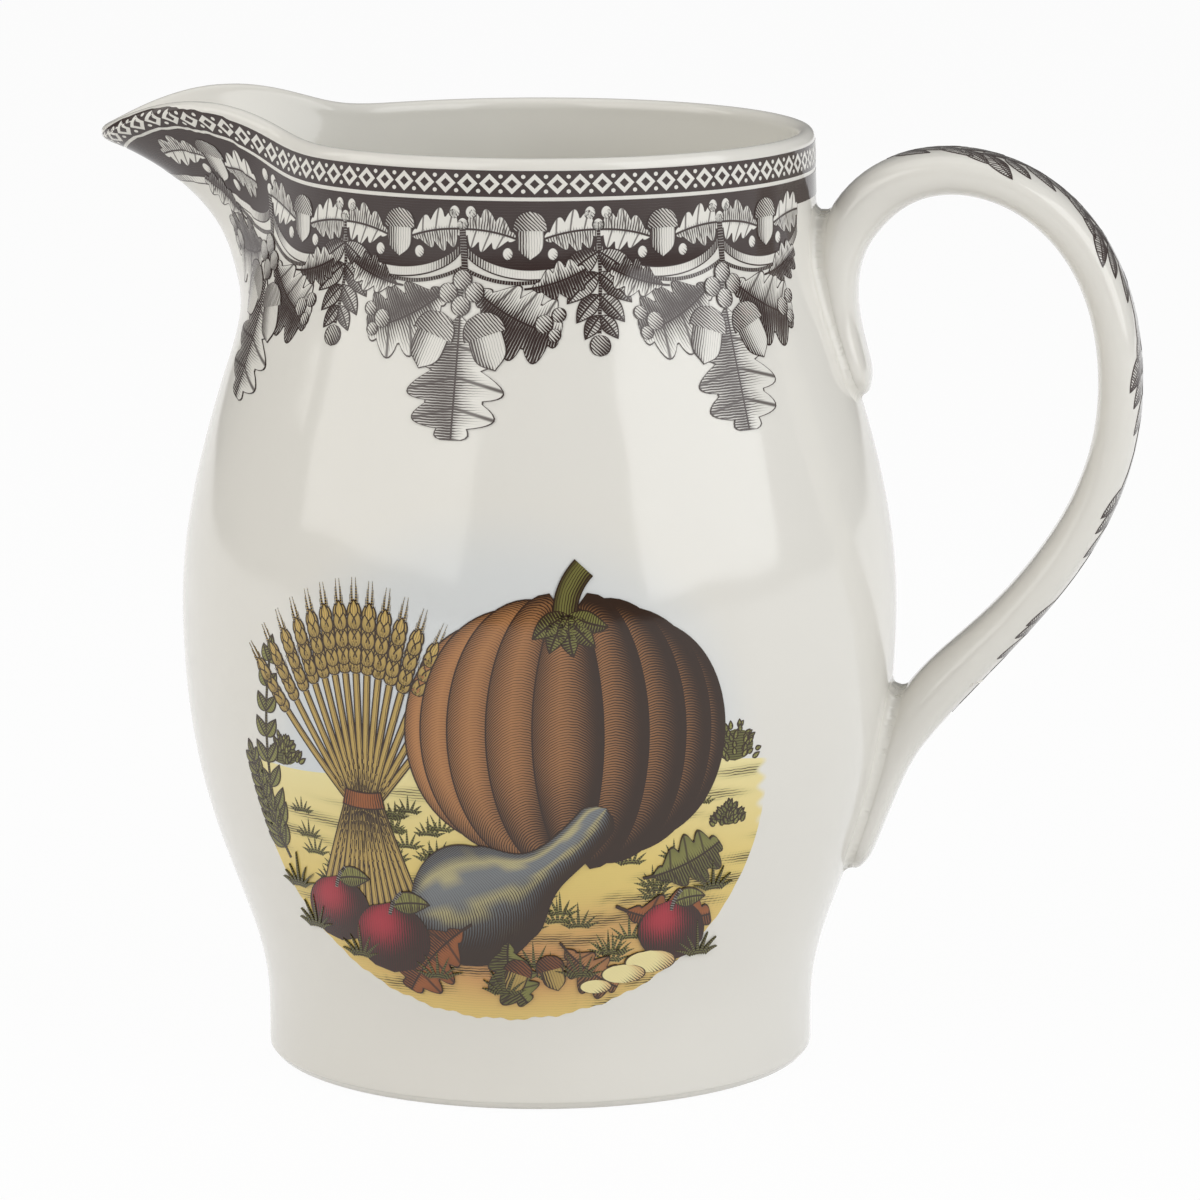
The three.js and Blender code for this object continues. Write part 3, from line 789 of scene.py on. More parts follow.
def border_artwork(settings, glaze, reach):
    """One half of the border, from the spout to the side of the handle."""
    art = Artwork(glaze.outside)
    top, edging, band_top, band, scallop, ribbon = (
        getattr(settings, name) / MM for name in ("top", "edging", "band_top", "band", "scallop", "ribbon"))
    pitch = reach / settings.scallops

    def hem(angle):
        """How deep the band hangs; it narrows to pass over the handle."""
        swing = 2 * ((angle / pitch) % 1.0) - 1
        return band_top + np.where(angle < reach, band + scallop * (1 - swing ** 2) ** 0.6, 5.0)

    def strip(angles, foot, depth, rows, layer, tone, edge=1.0, hatch=None):
        """A strip along the lip, from its foot up."""
        share = np.linspace(0, 1, rows)[:, None]
        art.sheet(angles, 0, foot + depth * share + 0 * angles, layer, tone, hatch=hatch,
                  edge=depth * np.minimum(share, 1 - share) * edge)

    round_rim = np.linspace(0, math.pi, 401)
    to_handle = round_rim[round_rim <= reach * 1.0001]
    strip(round_rim, -top - edging, edging, 13, 0, 1.3, 0.7)
    strip(round_rim, -hem(round_rim), hem(round_rim) - band_top, 9, 0, 1.12)
    swing = np.abs(2 * ((to_handle / pitch) % 1.0) - 1)
    strip(to_handle, -hem(to_handle) - ribbon * 0.75, ribbon, 4, 1, smooth(0.35, 1.0, swing) * 0.85,
          hatch=to_handle * 60)
    run = wall().run[:, int((top + edging / 2) * MM / Wall.STEP)]
    count = int(run[-1] / settings.lozenge)
    for angle in np.interp((np.arange(count) + 0.5) / count * run[-1], run, wall().angles):
        for start, size, layer, tone in ((-2.15, (4.3, 2.1), 1, -0.5), (-1.0, (2.0, 0.95), 2, 1.3)):
            art.lay("lozenge", (start, -top - edging / 2), size, 0, angle=angle, layer=layer, tone=tone,
                    edge=0)
        for low in (0.75, edging - 1.65):
            art.lay("bead", (settings.lozenge / MM / 2, -top - edging + low), (0.9, 0.45), angle=angle,
                    tone=-0.5, edge=0)
    floor = -band_top - 7.4
    for k in range(settings.scallops):
        angle, joint = (k + 0.5) * pitch, (k + 1) * pitch
        for side in (-1, 1):
            oak_leaf(art, (side * 1.2, floor - 1.0), 13.2, 90 - side * 66, side * -26, 1, angle, 0.36, -0.02)
            berry(art, (side * 4.6, floor - 3.4), 1.3, 1, angle, dark=-0.1)
        acorn(art, (0, floor + 5.4), 10.2, -90, 3, angle)
        if k + 1 < settings.scallops:
            for x, y in ((0, -4.9), (-1.7, -2.4), (1.7, -2.4)):
                berry(art, (x, -band_top + y), 1.35, 1, joint, dark=-0.1)
            drop, size = (small_drop, 1.25) if k % 2 else (large_drop, 1.32)
            drop(art, joint, -float(hem(np.array(joint - 1e-6))) - 0.5, size)
    return art


# Motifs of the medallion

def wheat_ear(art, at, turn, long, wash, layer):
    """Awns behind two rows of grains."""
    def along(share):
        return np.asarray(at) + towards(turn) * long * share

    for k in range(7):
        for side in (-1, 1):
            art.lay("blade", along(0.1 + k / 8), (long * 0.62, 0.16), turn + side * (20 - 2 * k), side * -10,
                    layer=layer, tone=0.7, wash=wash, edge=0)
    for k in range(7):
        for side in (-1, 1):
            art.lay("grain", along(k / 7.5), (long * 0.3, long * 0.085), turn + side * 27, side * -26,
                    layer=layer + 1 + k % 2, lines="along",
                    wash=lambda u, v: blend(0.2 + 0.4 * np.abs(v) + 0.3 * (1 - u), wash, scaled(wash, 0.42)),
                    tone=lambda u, v: -0.1 + 0.45 * smooth(0.6, 0, u) * (v * side < 0.3))
    art.lay("grain", along(0.86), (long * 0.28, long * 0.08), turn, layer=layer + 2, wash=wash, tone=0.15,
            lines="along")


def sheaf(art, tie, settings, layer):
    """Stalks gathered by a band, with the ears fanned out over it."""
    straw = settings.straw
    tie = np.array(tie)
    t = np.linspace(0, 1, 26)[:, None]
    for f in sorted(np.linspace(-1, 1, 15), key=lambda f: -abs(f)):
        foot, head = tie + (12 * f, 3 * f * f - 27), tie + (18 * f - 1, 27 - 10 * f * f)
        waist = tie + (3.6 * f, 0)
        path = np.where(t < 0.5, foot + (waist - foot) * np.sin(math.pi * t) ** 0.8,
                        waist + (head - waist) * (1 - np.sin(math.pi * t) ** 1.3))
        depth = layer + (abs(f) < 0.6)

        def at_tie(u, spread):
            return 0.4 * smooth(spread, 0.0, np.abs(u - 0.47))

        art.lay("ribbon", None, (1, 0.85), path=path, layer=depth, lines="along",
                wash=lambda u, v: blend(0.55 * np.abs(v) + at_tie(u, 0.25), straw, scaled(straw, 0.4)),
                tone=lambda u, v: 0.25 * (v > 0) + at_tie(u, 0.2))
        turn = math.degrees(math.atan2(*(head - waist)[::-1]))
        wheat_ear(art, head, turn, 13.5 - 1.5 * abs(f), straw, depth)
    art.lay("ribbon", None, (1, 1.9), path=arc_path(tie + (-4.6, 0.6), -14, 9.4, 28), layer=layer + 4,
            wash=scaled(settings.russet, 0.9), tone=lambda u, v: 0.15 + 0.6 * np.abs(2 * u - 1) ** 2)


def pumpkin(art, centre, wide, high, settings, layer):
    """Ribs laid from the sides to the middle, each one round and shaded away from the light."""
    centre = np.asarray(centre, float)
    t = np.linspace(0, 1, 49)
    for order, tilt in enumerate((66, 50, 34, 17, 0)):
        for side in (-1, 1)[:1 if tilt == 0 else 2]:
            lean = math.radians(tilt * side)
            bulge = wide * math.sin(lean) * (0.2 + 0.8 * np.sin(math.pi * t) ** 0.75)
            tall = high * (1 - 0.2 * math.sin(lean) ** 2)
            path = centre + np.stack([bulge, -tall * np.cos(math.pi * t)], 1)
            half = wide * 0.2 * (math.cos(lean) + 0.12)

            def shadow(u, v):
                ends = 0.3 * smooth(0.42, 0.0, u) + 0.28 * smooth(0.86, 1.0, u)
                return 0.24 + 0.72 * np.abs(v * 0.9 + 0.2) ** 1.5 + 0.26 * math.sin(lean) + ends

            art.lay("rib", None, (1, half), path=path, layer=layer + order, bow=0.7, tone=shadow,
                    wash=lambda u, v: blend(shadow(u, v) * 1.05, settings.rind_light, settings.rind_dark))
    crown = centre + (0, high * 0.9)
    art.lay("ribbon", None, (1, 2.6), path=arc_path(crown + (-0.5, -1), 96, 12, -52), layer=layer + 5,
            wash=lambda u, v: blend(np.abs(v) * 0.9, settings.olive, settings.rind_dark), lines="along",
            tone=lambda u, v: 0.25 + 0.5 * smooth(-0.2, 1, v))
    for turn in (205, 235, 268, 300, 332):
        lance_leaf(art, crown + (0, 0.6), (9, 2.4), turn, 20, 0.4, layer=layer + 5,
                   wash=scaled(settings.olive, 0.8))


def gourd(art, at, settings, layer):
    """A long-necked gourd with pale, broken stripes."""
    def shadow(u, v):
        under = 0.85 * np.abs(v + 0.3) ** 1.6 * (v > -0.3)
        return 0.2 + under + 0.4 * smooth(-0.6, -1, v) + 0.25 * smooth(0.12, 0, u)

    def wash(u, v):
        stripe = smooth(0.3, 0.75, np.sin(v * 8.6 + 0.9 + 0.5 * np.sin(u * 21))) * smooth(0.02, 0.12, u)
        skin = blend(stripe * 0.85, settings.gourd, scaled(settings.far_field, 0.8))
        return skin * (1 - 0.85 * np.clip(shadow(u, v), 0, 1))[:, None]

    art.lay("gourd", at, (50, 14.0), 8, 46, layer=layer, bow=0.5, wash=wash,
            tone=lambda u, v: shadow(u, v) - 0.1)


def apple(art, at, radius, settings, layer):
    """An apple with a lit cheek, its stalk and a leaf."""
    def shadow(u, v):
        return 0.1 + 0.95 * smooth(0.1, 1.25, np.hypot(v + 0.3, 2 * u - 1.45))

    x, y = at
    art.lay("disc", (x, y - radius), (2 * radius * 0.93, radius), layer=layer, lines="along",
            tone=lambda u, v: shadow(u, v) - 0.15,
            wash=lambda u, v: blend(shadow(u, v), scaled(settings.apple, 1.5), scaled(settings.apple, 0.3)))
    stalk(art, arc_path((x, y + radius * 0.55), 80, radius * 0.7, -40), 0.4, layer + 1)
    lance_leaf(art, (x + 0.6, y + radius * 0.8), (radius, radius * 0.3), 20, -30, layer=layer + 1, veins=5,
               wash=settings.olive)


def tuft(art, at, high, wash, layer, random):
    """A few blades of grass from one root."""
    for lean in np.linspace(-55, 55, 7):
        long = high * (1 - abs(lean) / 110) * random.uniform(0.8, 1.1)
        art.lay("blade", (at[0] + lean * 0.03, at[1]), (long, 0.42), 90 - lean, -lean * 0.5, layer=layer,
                tone=0.5, wash=wash, edge=0)


def bush(art, at, wide, high, wash, layer, random):
    """A leafy bush, its leaves laid from the crown down over a dark middle."""
    art.lay("disc", at, (high * 0.85, wide * 0.42), layer=layer, tone=0.3, wash=scaled(wash, 0.5), edge=0)
    for f in np.linspace(1, 0, 46):
        aside = random.uniform(-1, 1)
        spot = (at[0] + aside * wide * math.sqrt(1 - 0.8 * f * f) / 2,
                at[1] + high * f * (1 - 0.4 * aside * aside))
        art.lay("grain", spot, (random.uniform(1.6, 2.5), 0.62), 90 - 60 * aside + random.uniform(-30, 30),
                layer=layer + 1 + 2 * (1 - f), wash=scaled(wash, random.uniform(0.6, 1.2)),
                tone=lambda u, v: 0.1 + 0.5 * (v > 0))


def sprig(art, path, wash, layer, size=7.0):
    """A wild stem with leaves to both sides."""
    path = np.asarray(path)
    stalk(art, path, 0.35, layer, wash=wash)
    for k, i in enumerate(np.linspace(2, len(path) - 2, 8).astype(int)):
        turn = math.degrees(math.atan2(*(path[i + 1] - path[i])[::-1]))
        for side in (-1, 1):
            lance_leaf(art, path[i], (size * (1 - 0.06 * k), size * 0.22), turn + side * 46, side * -20,
                       0.15, 0.45, side, layer=layer + 1, wash=wash)
    lance_leaf(art, path[-1], (size * 0.6, size * 0.16), turn, shaded=0, layer=layer + 1, wash=wash)


def medallion_artwork(settings, glaze):
    """A harvest still life in a field, fading out to the bare glaze."""
    art = Artwork(glaze.outside)
    random = np.random.default_rng(11)
    paper = glaze.outside
    x = 59.9 * np.sin(np.linspace(-math.pi / 2, math.pi / 2, 260))
    rim = np.sqrt(np.maximum(0, 1 - (x / 60) ** 2))
    horizon = 1.5 + 2.2 * np.sin(x / 17 + 0.6) - 3.5 * smooth(0, -60, x)
    share = np.linspace(0, 1, 34)[:, None]

    low = np.minimum(-55.8 * rim * (1 + 0.004 * np.sin(x * 0.7) + 0.003 * np.sin(x * 1.9)), horizon)
    y = low + (horizon - low) * share
    ragged = smooth(0.955, 0.99, np.abs(x) / 60 + 0.015 * np.sin(y * 1.7)) * smooth(-26, -8, y)
    near = np.clip((horizon - y) / 40, 0, 1)
    wash = blend((near * 1.7).ravel(), settings.far_field, settings.field)
    soil = np.exp(-((x - 2) / 27) ** 2 - ((y + 43) / 9) ** 2)
    soil = soil + 0.5 * np.exp(-((x - 30) / 15) ** 2 - ((y + 34) / 5) ** 2)
    wash = blend(soil.ravel() * 1.1, wash, settings.soil)
    streaks = np.sin(y * 0.8 + 0.6 * np.sin(x * 0.16)) * np.sin(x * 0.11 + y * 0.5)
    wash = blend(smooth(0.0, 1.0, streaks).ravel() * 0.3, wash, settings.olive)
    wash = blend(ragged.ravel(), wash, paper)
    tone = -0.25 + 0.62 * smooth(0.1, 1.0, streaks) + 0.2 * near - ragged
    art.sheet(0, x, y, 0, tone, wash)

    y = horizon + (np.maximum(56.5 * rim, horizon) - horizon) * share
    inside = 1 - np.hypot(x / 60.5, y / 57)
    cloud = smooth(0.0, 0.3, inside) * (1 - 0.4 * smooth(8, 50, y))
    art.sheet(0, x, y, 0, -0.6, blend(cloud.ravel(), paper, settings.sky))

    olive, russet, straw = settings.olive, settings.russet, settings.straw
    bush(art, (51.5, 0), 11, 8, scaled(olive, 1.1), 1, random)
    bush(art, (50, -14), 7, 4, olive, 1, random)
    bush(art, (-50, -3), 10, 6, scaled(olive, 1.1), 1, random)
    sprig(art, arc_path((-52, -21), 104, 42, -26, 24), olive, 3)
    sprig(art, arc_path((-50, -24), 120, 24, -10, 18), scaled(olive, 0.9), 3, 6.0)
    sheaf(art, (-29, -8), settings, 3)
    pumpkin(art, (15, 8), 33.5, 27, settings, 5)
    gourd(art, (-19, -33), settings, 11)
    for at, turn, bend, long, skin in (((-6, -34), 214, 30, 22, russet), ((2, -36), 250, 60, 17, olive),
                                       ((24, -30), -30, 40, 22, russet), ((30, -24), 8, 26, 19, olive),
                                       ((12, -38), -58, 30, 16, settings.rind_light)):
        oak_leaf(art, at, long, turn, bend, 12, dark=0.18, wash=lambda u, v: blend(
            0.15 + 0.5 * np.abs(v) ** 2 + 0.3 * (v > 0), skin, scaled(skin, 0.35)))
    for at, radius, layer in (((-37, -33), 8.2, 9), ((-24, -38), 8.8, 13.4), ((36, -36), 7.6, 13.4)):
        apple(art, at, radius, settings, layer)
    for at, turn in (((4, -42), 250), ((9, -41), 285)):
        acorn(art, at, 8.5, turn, 13, nut_wash=scaled(straw, 0.75), cup_wash=scaled(russet, 0.6))
    for at, size in (((25, -48), 4.4), ((31, -46), 5.2), ((19, -50), 3.2)):
        art.lay("disc", at, (size, size * 1.1), layer=15 - size / 5, lines="slant",
                wash=lambda u, v: blend(smooth(0.2, 1, v) * 0.6, settings.far_field, settings.soil),
                tone=lambda u, v: -0.1 + 0.6 * smooth(-0.1, 1, v * 0.7 - (2 * u - 1) * 0.5))
    spots = random.uniform((-50, -50), (52, -8), (90, 2))
    for spot in spots[np.hypot(spots[:, 0] / 55, spots[:, 1] / 52) < 0.92]:
        tuft(art, spot, 3.4 + 0.07 * -spot[1], scaled(olive, random.uniform(0.6, 1.0)), 1, random)
    for spot in ((-44, -39), (-14, -47), (0, -50), (42, -43), (46, -28), (-48, -30), (16, -46), (-32, -44)):
        tuft(art, spot, 7.5, scaled(olive, 0.55), 16, random)
    return art


# The strip down the handle

def vine_artwork(glaze, long):
    """A waving stem with leaves and berries, from the upper end of the strip downwards."""
    art = Artwork(glaze.outside)
    down = np.linspace(2, long - 2, 120)
    sway = 3.0 * np.sin(down * 2 * math.pi / 30)
    for first in range(0, 119, 17):
        last = min(first + 18, 120)
        stalk(art, np.stack([sway[first:last], -down[first:last]], 1), 0.42, 1, tone=1.2)
    for k, spot in enumerate(np.arange(4, long - 7, 4.8)):
        x = 3.0 * math.sin(spot * 2 * math.pi / 30)
        side = 1 if k % 2 else -1
        for way, size in ((side, 1.0), (-side, 0.85)):
            lance_leaf(art, (x, -spot), (11.0 * size, 2.3 * size), -90 + way * 56, way * -24, 0.62, 0.5, way,
                       0.15, layer=2, veins=5)
        if k % 2 == 0:
            for reach in (4.6, 8.8):
                berry(art, (x - side * reach, -spot - 3.0), 1.2, 3, dark=0.6)
    return art


class Strap:
    """The outer face of the handle, along the middle of its printed strip. The artwork's outer FOLD is
    laid round the strap's rounded edge, up to MARGIN from its side."""

    FOLD = 4.4 * MM
    MARGIN = 0.12 * MM
    ABOVE = 8 * MM
    REACH = 20 * MM

    def __init__(self, handle):
        self.tree = feeler(handle)
        film = read_points(frame["nodes"]["handle_transfer"].data)
        film = np.unique(np.round(film[np.abs(film[:, 1]) < 0.05 * MM][:, (0, 2)], 6), axis=0)
        hub = np.array([film[:, 0].min(), film[:, 1].mean()])
        film = film[np.argsort(-np.arctan2(*(film - hub).T[::-1]))]
        self.path = film[:len(film) // 2 * 2].reshape(-1, 2, 2).mean(1)
        steps = np.linalg.norm(np.diff(self.path, axis=0), axis=1)
        self.run = np.r_[0, np.cumsum(steps)]
        slope = unit(np.gradient(self.path, self.run, axis=0))
        self.out = np.stack([-slope[:, 1], slope[:, 0]], 1)

    def place(self, angle, aside, up):
        spot = np.stack([np.interp(-up, self.run, self.path[:, k]) for k in (0, 1)], 1)
        out = unit(np.stack([np.interp(-up, self.run, self.out[:, k]) for k in (0, 1)], 1))
        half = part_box("handle")[1].y
        edge = STRAP_EDGE * half
        fold = np.clip((np.abs(aside) - edge) / self.FOLD, 0, 1)
        past = (half - edge - self.MARGIN) * np.sin(fold * math.pi / 2)
        aside = np.sign(aside) * (np.minimum(np.abs(aside), edge) + past)
        points, outward = np.empty((len(up), 3)), np.empty((len(up), 3))
        for i in range(len(up)):
            away = Vector((out[i, 0], 0, out[i, 1]))
            start = Vector((spot[i, 0], aside[i], spot[i, 1])) + away * self.ABOVE
            hit, normal, _, _ = self.tree.ray_cast(start, -away, self.REACH)
            if hit is None:
                raise RuntimeError("the handle's print reaches past its edge")
            points[i], outward[i] = hit, normal
        return points, outward


# Pieces

class PITCHER_OT_body(bpy.types.Operator):
    """Cast body with its spout, lip, floor and foot ring"""

    bl_idname = "pitcher.body"
    bl_label = "Body"

    # The painted shade inside starts so far under the crown of the lip and is full so much further down
    INSIDE_SHADE_TOP = 18 * MM
    INSIDE_SHADE_FADE = 26 * MM
    # The foot ring is bare up to the first height and glazed from the second
    BARE = 0.2 * MM
    GLAZED = 0.5 * MM

    def execute(self, context):
        glaze = context.scene.pitcher_glaze
        body = smoothed_copy("jug_body", "body", lambda point: point.z < 0.1 * MM, 1.0)
        points = read_points(body.data)
        normals = read_points(body.data, "normal")
        outward = unit((points - np.array(AXIS)) * (1, 1, 0))
        facing_in = normals[:, 2] * 0.6 - (normals * outward).sum(1) * 0.8
        height = points[:, 2]
        top = height.max() - self.INSIDE_SHADE_TOP
        # Painted shade: the inside attribute grows on surfaces facing in and towards the bottom of the mouth
        mark(body.data, "inside", smooth(0.1, 0.5, facing_in) * smooth(top, top - self.INSIDE_SHADE_FADE, height))
        mark(body.data, "bare", smooth(self.GLAZED, self.BARE, height))
        dress(body, glaze_finish("ivory_glaze", glaze, glaze.outside), "ivory_glaze", "jug_body")
        return {"FINISHED"}


class PITCHER_OT_handle(bpy.types.Operator):
    """Loop handle with a softened edge down each side"""

    bl_idname = "pitcher.handle"
    bl_label = "Handle"

    def execute(self, context):
        glaze = context.scene.pitcher_glaze
        edge = STRAP_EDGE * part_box("handle")[1].y
        handle = smoothed_copy("handle", "handle_loop", lambda point: abs(abs(point.y) - edge) < 0.3 * MM,
                               context.scene.pitcher_handle.ridge)
        dress(handle, glaze_finish("handle_glaze", glaze, glaze.outside), "ivory_glaze", "handle")
        return {"FINISHED"}


class PITCHER_OT_slip(bpy.types.Operator):
    """Slip smoothed to a fillet round each root of the handle"""

    bl_idname = "pitcher.slip"
    bl_label = "Luting slip"

    # Cell of the remeshing, how far the fillet is sunk into the clay, and how thick it is left
    CELL = 0.4 * MM
    SUNK = 0.06 * MM
    SKIN = 0.3 * MM
    # Thickness of the plate, how far it goes past the bed of slip, and how much shorter the root is cut
    PLATE = 3 * MM
    BESIDE = 5 * MM
    BEYOND = 14 * MM
    TRIM = 3 * MM

    def execute(self, context):
        fillet = context.scene.pitcher_handle.fillet
        body, strap = (feeler(bpy.data.objects[name]) for name in ("body", "handle_loop"))
        finish = glaze_finish("luting_slip", context.scene.pitcher_glaze, context.scene.pitcher_glaze.slip)
        for side in ("upper", "lower"):
            node = side + "_luting_slip"
            piece = self.joint(node, side + "_slip")
            for offset in (fillet, -fillet - self.SUNK):
                apply_modifier(piece, "REMESH", mode="VOXEL", voxel_size=self.CELL)
                apply_modifier(piece, "DISPLACE", strength=offset, mid_level=0)
            apply_modifier(piece, "SMOOTH", factor=0.5, iterations=3)
            self.keep_fillet(piece, body, strap)
            apply_modifier(piece, "SOLIDIFY", thickness=self.SKIN, offset=-1)
            bpy.ops.object.shade_smooth_by_angle(angle=math.radians(60))
            dress(piece, finish, "luting_slip", node)
        return {"FINISHED"}

    def joint(self, node, name):
        """A plate cut from the wall behind a root, with the root of the strap in front of it."""
        low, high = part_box(node)
        wide, tall = high.y + self.BESIDE, (high.z - low.z) / 2 + self.BEYOND
        level = middle(node).z
        start_fresh()
        bpy.ops.mesh.primitive_grid_add(x_subdivisions=40, y_subdivisions=60, size=2)
        plate = bpy.context.object
        flat = read_points(plate.data)
        behind = np.full(len(flat), math.pi)
        foot, _ = wall().at_height(behind, flat[:, 0] * wide, level + flat[:, 1] * tall)
        write_points(plate.data, foot)
        apply_modifier(plate, "SOLIDIFY", thickness=self.PLATE, offset=-1)
        root = put(name, bpy.data.objects["handle_loop"].data.copy())
        take_up(root)
        bpy.ops.object.mode_set(mode="EDIT")
        for way in (-1, 1):
            bpy.ops.mesh.select_all(action="SELECT")
            bpy.ops.mesh.bisect(plane_co=(0, 0, level + way * (tall - self.TRIM)), plane_no=(0, 0, way),
                                clear_outer=True, use_fill=True)
        bpy.ops.object.mode_set(mode="OBJECT")
        plate.select_set(True)
        bpy.ops.object.join()
        return root

    def keep_fillet(self, piece, body, strap):
        """Deletes what doesn't stand out from the wall and the strap."""
        shown = np.array([all(self.outside(tree, point) for tree in (body, strap))
                          for point in map(Vector, read_points(piece.data))])
        bpy.ops.object.mode_set(mode="EDIT")
        pick(piece, "faces", lambda face: any(shown[vertex.index] for vertex in face.verts))
        bpy.ops.mesh.select_more()
        bpy.ops.mesh.select_all(action="INVERT")
        bpy.ops.mesh.delete(type="FACE")
        bpy.ops.object.mode_set(mode="OBJECT")

    def outside(self, tree, point):
        spot, normal, _, _ = tree.find_nearest(point)
        return (point - spot).dot(normal) > 0


class PITCHER_OT_border(bpy.types.Operator):
    """Printed borders under the lip, one on each half"""

    bl_idname = "pitcher.border"
    bl_label = "Border prints"

    def execute(self, context):
        scene = context.scene
        film = read_points(frame["nodes"]["border_transfer_front"].data) - np.array(AXIS)
        reach = (np.arctan2(film[:, 1], film[:, 0]) - SPOUT_AZIMUTH) % (2 * math.pi)
        art = border_artwork(scene.pitcher_border, scene.pitcher_glaze, reach[reach < math.pi].max())
        ink = print_finish("brown_print", scene, scene.pitcher_print.sepia, 0.42)
        for side in ("front", "back"):
            piece = art.laid("border_" + side, lambda angle, aside, up: wall().under_lip(angle, aside, -up),
                             scene.pitcher_print, side == "back")
            dress(piece, ink, "brown_print", "border_transfer_" + side)
        return {"FINISHED"}


class PITCHER_OT_medallion(bpy.types.Operator):
    """Printed harvest medallions on the front and the back"""

    bl_idname = "pitcher.medallion"
    bl_label = "Medallion prints"

    def execute(self, context):
        scene = context.scene
        art = medallion_artwork(scene.pitcher_medallion, scene.pitcher_glaze)
        ink = print_finish("harvest_print", scene, scene.pitcher_print.umber, 0.12)
        for side, turn in (("front", 0.5), ("back", -0.5)):
            height = middle("medallion_transfer_" + side).z
            piece = art.laid("medallion_" + side, lambda angle, aside, up: wall().at_height(
                angle + turn * math.pi, aside, up + height), scene.pitcher_print)
            dress(piece, ink, "harvest_print", "medallion_transfer_" + side)
        return {"FINISHED"}


class PITCHER_OT_handle_print(bpy.types.Operator):
    """Printed vine down the outer face of the handle"""

    bl_idname = "pitcher.handle_print"
    bl_label = "Handle print"

    def execute(self, context):
        scene = context.scene
        strap = Strap(bpy.data.objects["handle_loop"])
        art = vine_artwork(scene.pitcher_glaze, strap.run[-1] / MM)
        ink = print_finish("handle_print", scene, scene.pitcher_print.sepia, 0.35)
        piece = art.laid("handle_vine", strap.place, scene.pitcher_print)
        dress(piece, ink, "brown_print", "handle_transfer")
        return {"FINISHED"}


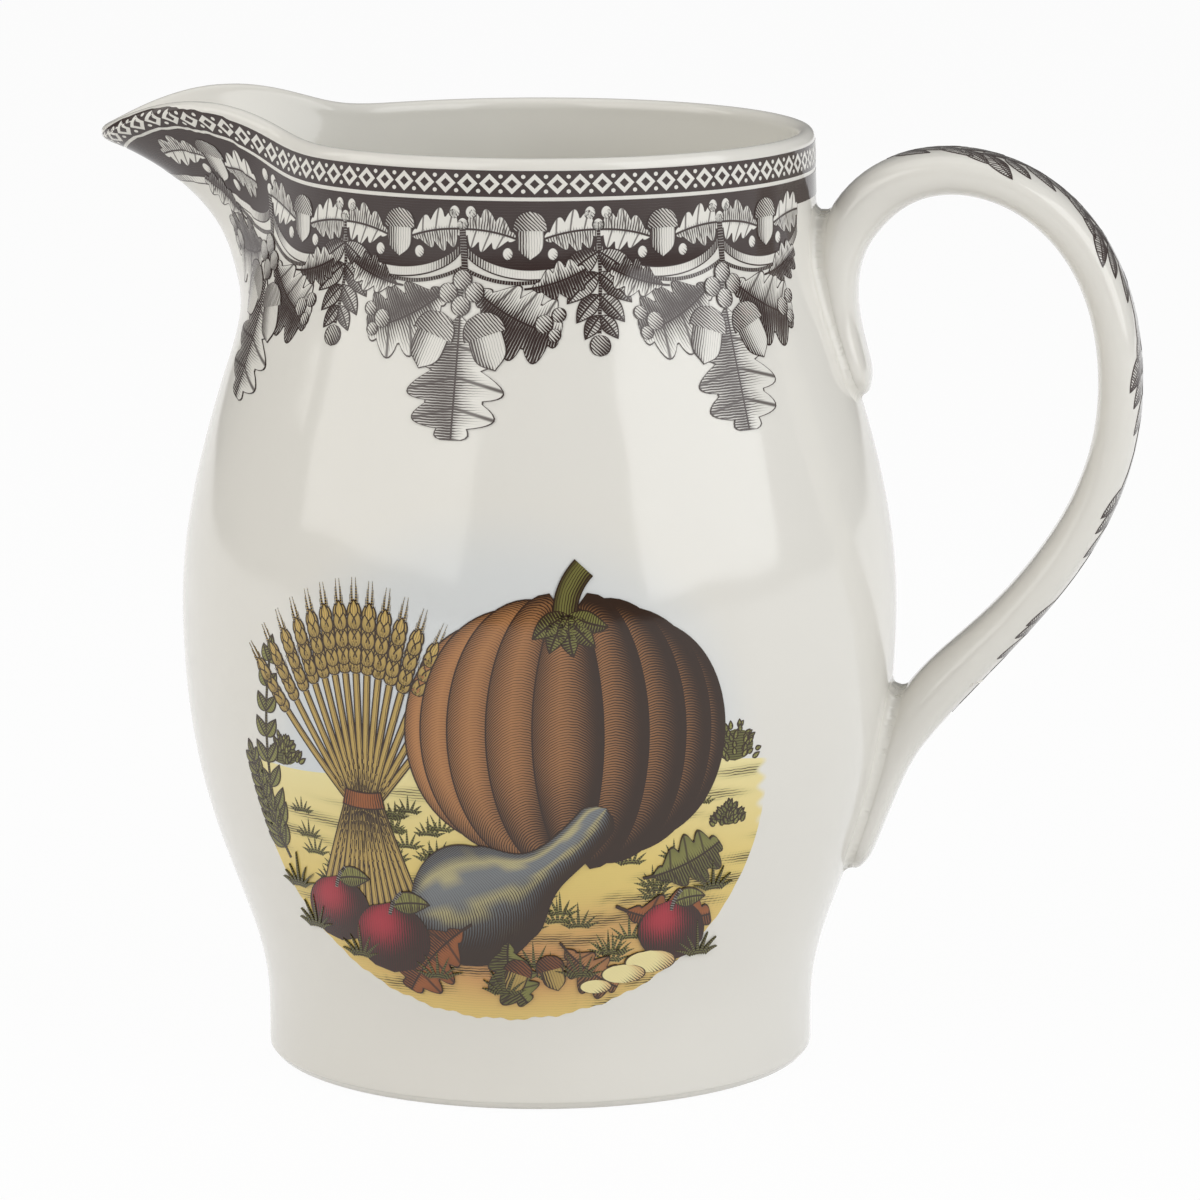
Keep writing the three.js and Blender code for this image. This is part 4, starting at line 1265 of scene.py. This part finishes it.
class PITCHER_OT_stage(bpy.types.Operator):
    """Pale floor, soft light and the camera"""

    bl_idname = "pitcher.stage"
    bl_label = "Stage"

    AIM = AXIS + Vector((0, 0, 0.11))
    LAMP_DISTANCE = 1.5

    def execute(self, context):
        settings = context.scene.pitcher_stage
        self.floor(settings)
        self.world(context, settings)
        boxes = (("left_box", -55, 29, (1.75, 1.15), settings.left_power, (1, 0.99, 0.95)),
                 ("right_box", 58, 27, (1.4, 1.25), settings.right_power, (0.985, 1, 1)),
                 ("edge_box", -98, 34, (0.26, 1.0), settings.edge_power, (1, 0.99, 0.94)),
                 ("top_box", 180, 78, (1.4, 1.4), settings.top_power, (1, 1, 0.97)))
        for name, turn, rise, size, power, tint in boxes:
            lamp = bpy.data.lights.new(name, "AREA")
            lamp.shape = "RECTANGLE"
            lamp.size, lamp.size_y = size
            lamp.energy, lamp.color = power, tint
            box = put(name, lamp)
            away = self.away(math.radians(turn) + settings.camera_turn, math.radians(rise))
            box.location = self.AIM + away * self.LAMP_DISTANCE
            box.rotation_euler = away.to_track_quat("Z", "Y").to_euler()
        self.camera(context, settings)
        context.scene.view_settings.view_transform = "Standard"
        return {"FINISHED"}

    def away(self, turn, rise):
        """The direction away from the pitcher, turned from the front and raised."""
        return Vector((math.sin(turn) * math.cos(rise), -math.cos(turn) * math.cos(rise), math.sin(rise)))

    def floor(self, settings):
        """A pale floor that looks white and still takes the pitcher's shadow."""
        start_fresh()
        bpy.ops.mesh.primitive_grid_add(x_subdivisions=8, y_subdivisions=8, size=2 * settings.floor,
                                        location=(0, 0, -0.05 * MM))
        floor = bpy.context.object
        floor.name = "floor"
        bpy.ops.object.transform_apply(location=True)
        finish = Finish("floor_paint")
        finish.set(Base_Color=(0.86, 0.86, 0.85, 1), Roughness=0.9)
        seen = finish.node("ShaderNodeLightPath", output="Is Camera Ray")
        for ray in ("Is Glossy Ray", "Is Transmission Ray"):
            seen = seen.most(finish.node("ShaderNodeLightPath", output=ray))
        glow = finish.node("ShaderNodeEmission", None, {"Color": (1, 1, 1, 1), "Strength": 1.0})
        mixed = finish.node("ShaderNodeMixShader", None,
                            {0: seen * 0.96, 1: Wire(finish, finish.shader.outputs[0]), 2: glow})
        finish.feed(finish.output.inputs["Surface"], mixed)
        floor.data.materials.append(finish.material)

    def world(self, context, settings):
        world = bpy.data.worlds.new("white_room")
        context.scene.world = world
        world.use_nodes = True
        room = world.node_tree.nodes["Background"].inputs
        room["Color"].default_value = (1.0, 0.99, 0.97, 1)
        room["Strength"].default_value = settings.fill

    def camera(self, context, settings):
        turn, yaw, pitch = settings.camera_turn, settings.camera_yaw, settings.camera_pitch
        lens = bpy.data.cameras.new("camera")
        lens.lens = settings.lens
        lens.sensor_width = 36
        lens.clip_start, lens.clip_end = 0.05, 50
        camera = put("camera", lens)
        camera.location = (AXIS + self.away(turn, 0) * settings.camera_distance
                           + Vector((0, 0, settings.camera_height)))
        heading = -self.away(turn - yaw, pitch)
        camera.rotation_euler = heading.to_track_quat("-Z", "Y").to_euler()
        context.scene.camera = camera


class PITCHER_PT_panel(bpy.types.Panel):
    """Lists the pieces and their settings"""

    bl_idname = "PITCHER_PT_panel"
    bl_label = "Pitcher"
    bl_space_type = "VIEW_3D"
    bl_region_type = "UI"
    bl_category = "Pitcher"

    def draw(self, context):
        for piece in PIECES:
            self.layout.operator(piece.bl_idname)
        for name in SETTINGS:
            box = self.layout.box()
            settings = getattr(context.scene, name)
            for key in settings.__annotations__:
                box.prop(settings, key)


SETTINGS = {"pitcher_glaze": GlazeSettings, "pitcher_handle": HandleSettings, "pitcher_print": PrintSettings,
            "pitcher_border": BorderSettings, "pitcher_medallion": MedallionSettings,
            "pitcher_stage": StageSettings}
PIECES = (PITCHER_OT_body, PITCHER_OT_handle, PITCHER_OT_slip, PITCHER_OT_border, PITCHER_OT_medallion,
          PITCHER_OT_handle_print, PITCHER_OT_stage)


def register():
    for group in (*SETTINGS.values(), *PIECES, PITCHER_PT_panel):
        bpy.utils.register_class(group)
    for name, group in SETTINGS.items():
        setattr(bpy.types.Scene, name, PointerProperty(type=group))


def unregister():
    for name in SETTINGS:
        delattr(bpy.types.Scene, name)
    for group in reversed((*SETTINGS.values(), *PIECES, PITCHER_PT_panel)):
        bpy.utils.unregister_class(group)


def main():
    register()
    bpy.ops.pitcher.body()
    bpy.ops.pitcher.handle()
    bpy.ops.pitcher.slip()
    bpy.ops.pitcher.border()
    bpy.ops.pitcher.medallion()
    bpy.ops.pitcher.handle_print()
    bpy.ops.pitcher.stage()


if __name__ == "__main__":
    main()
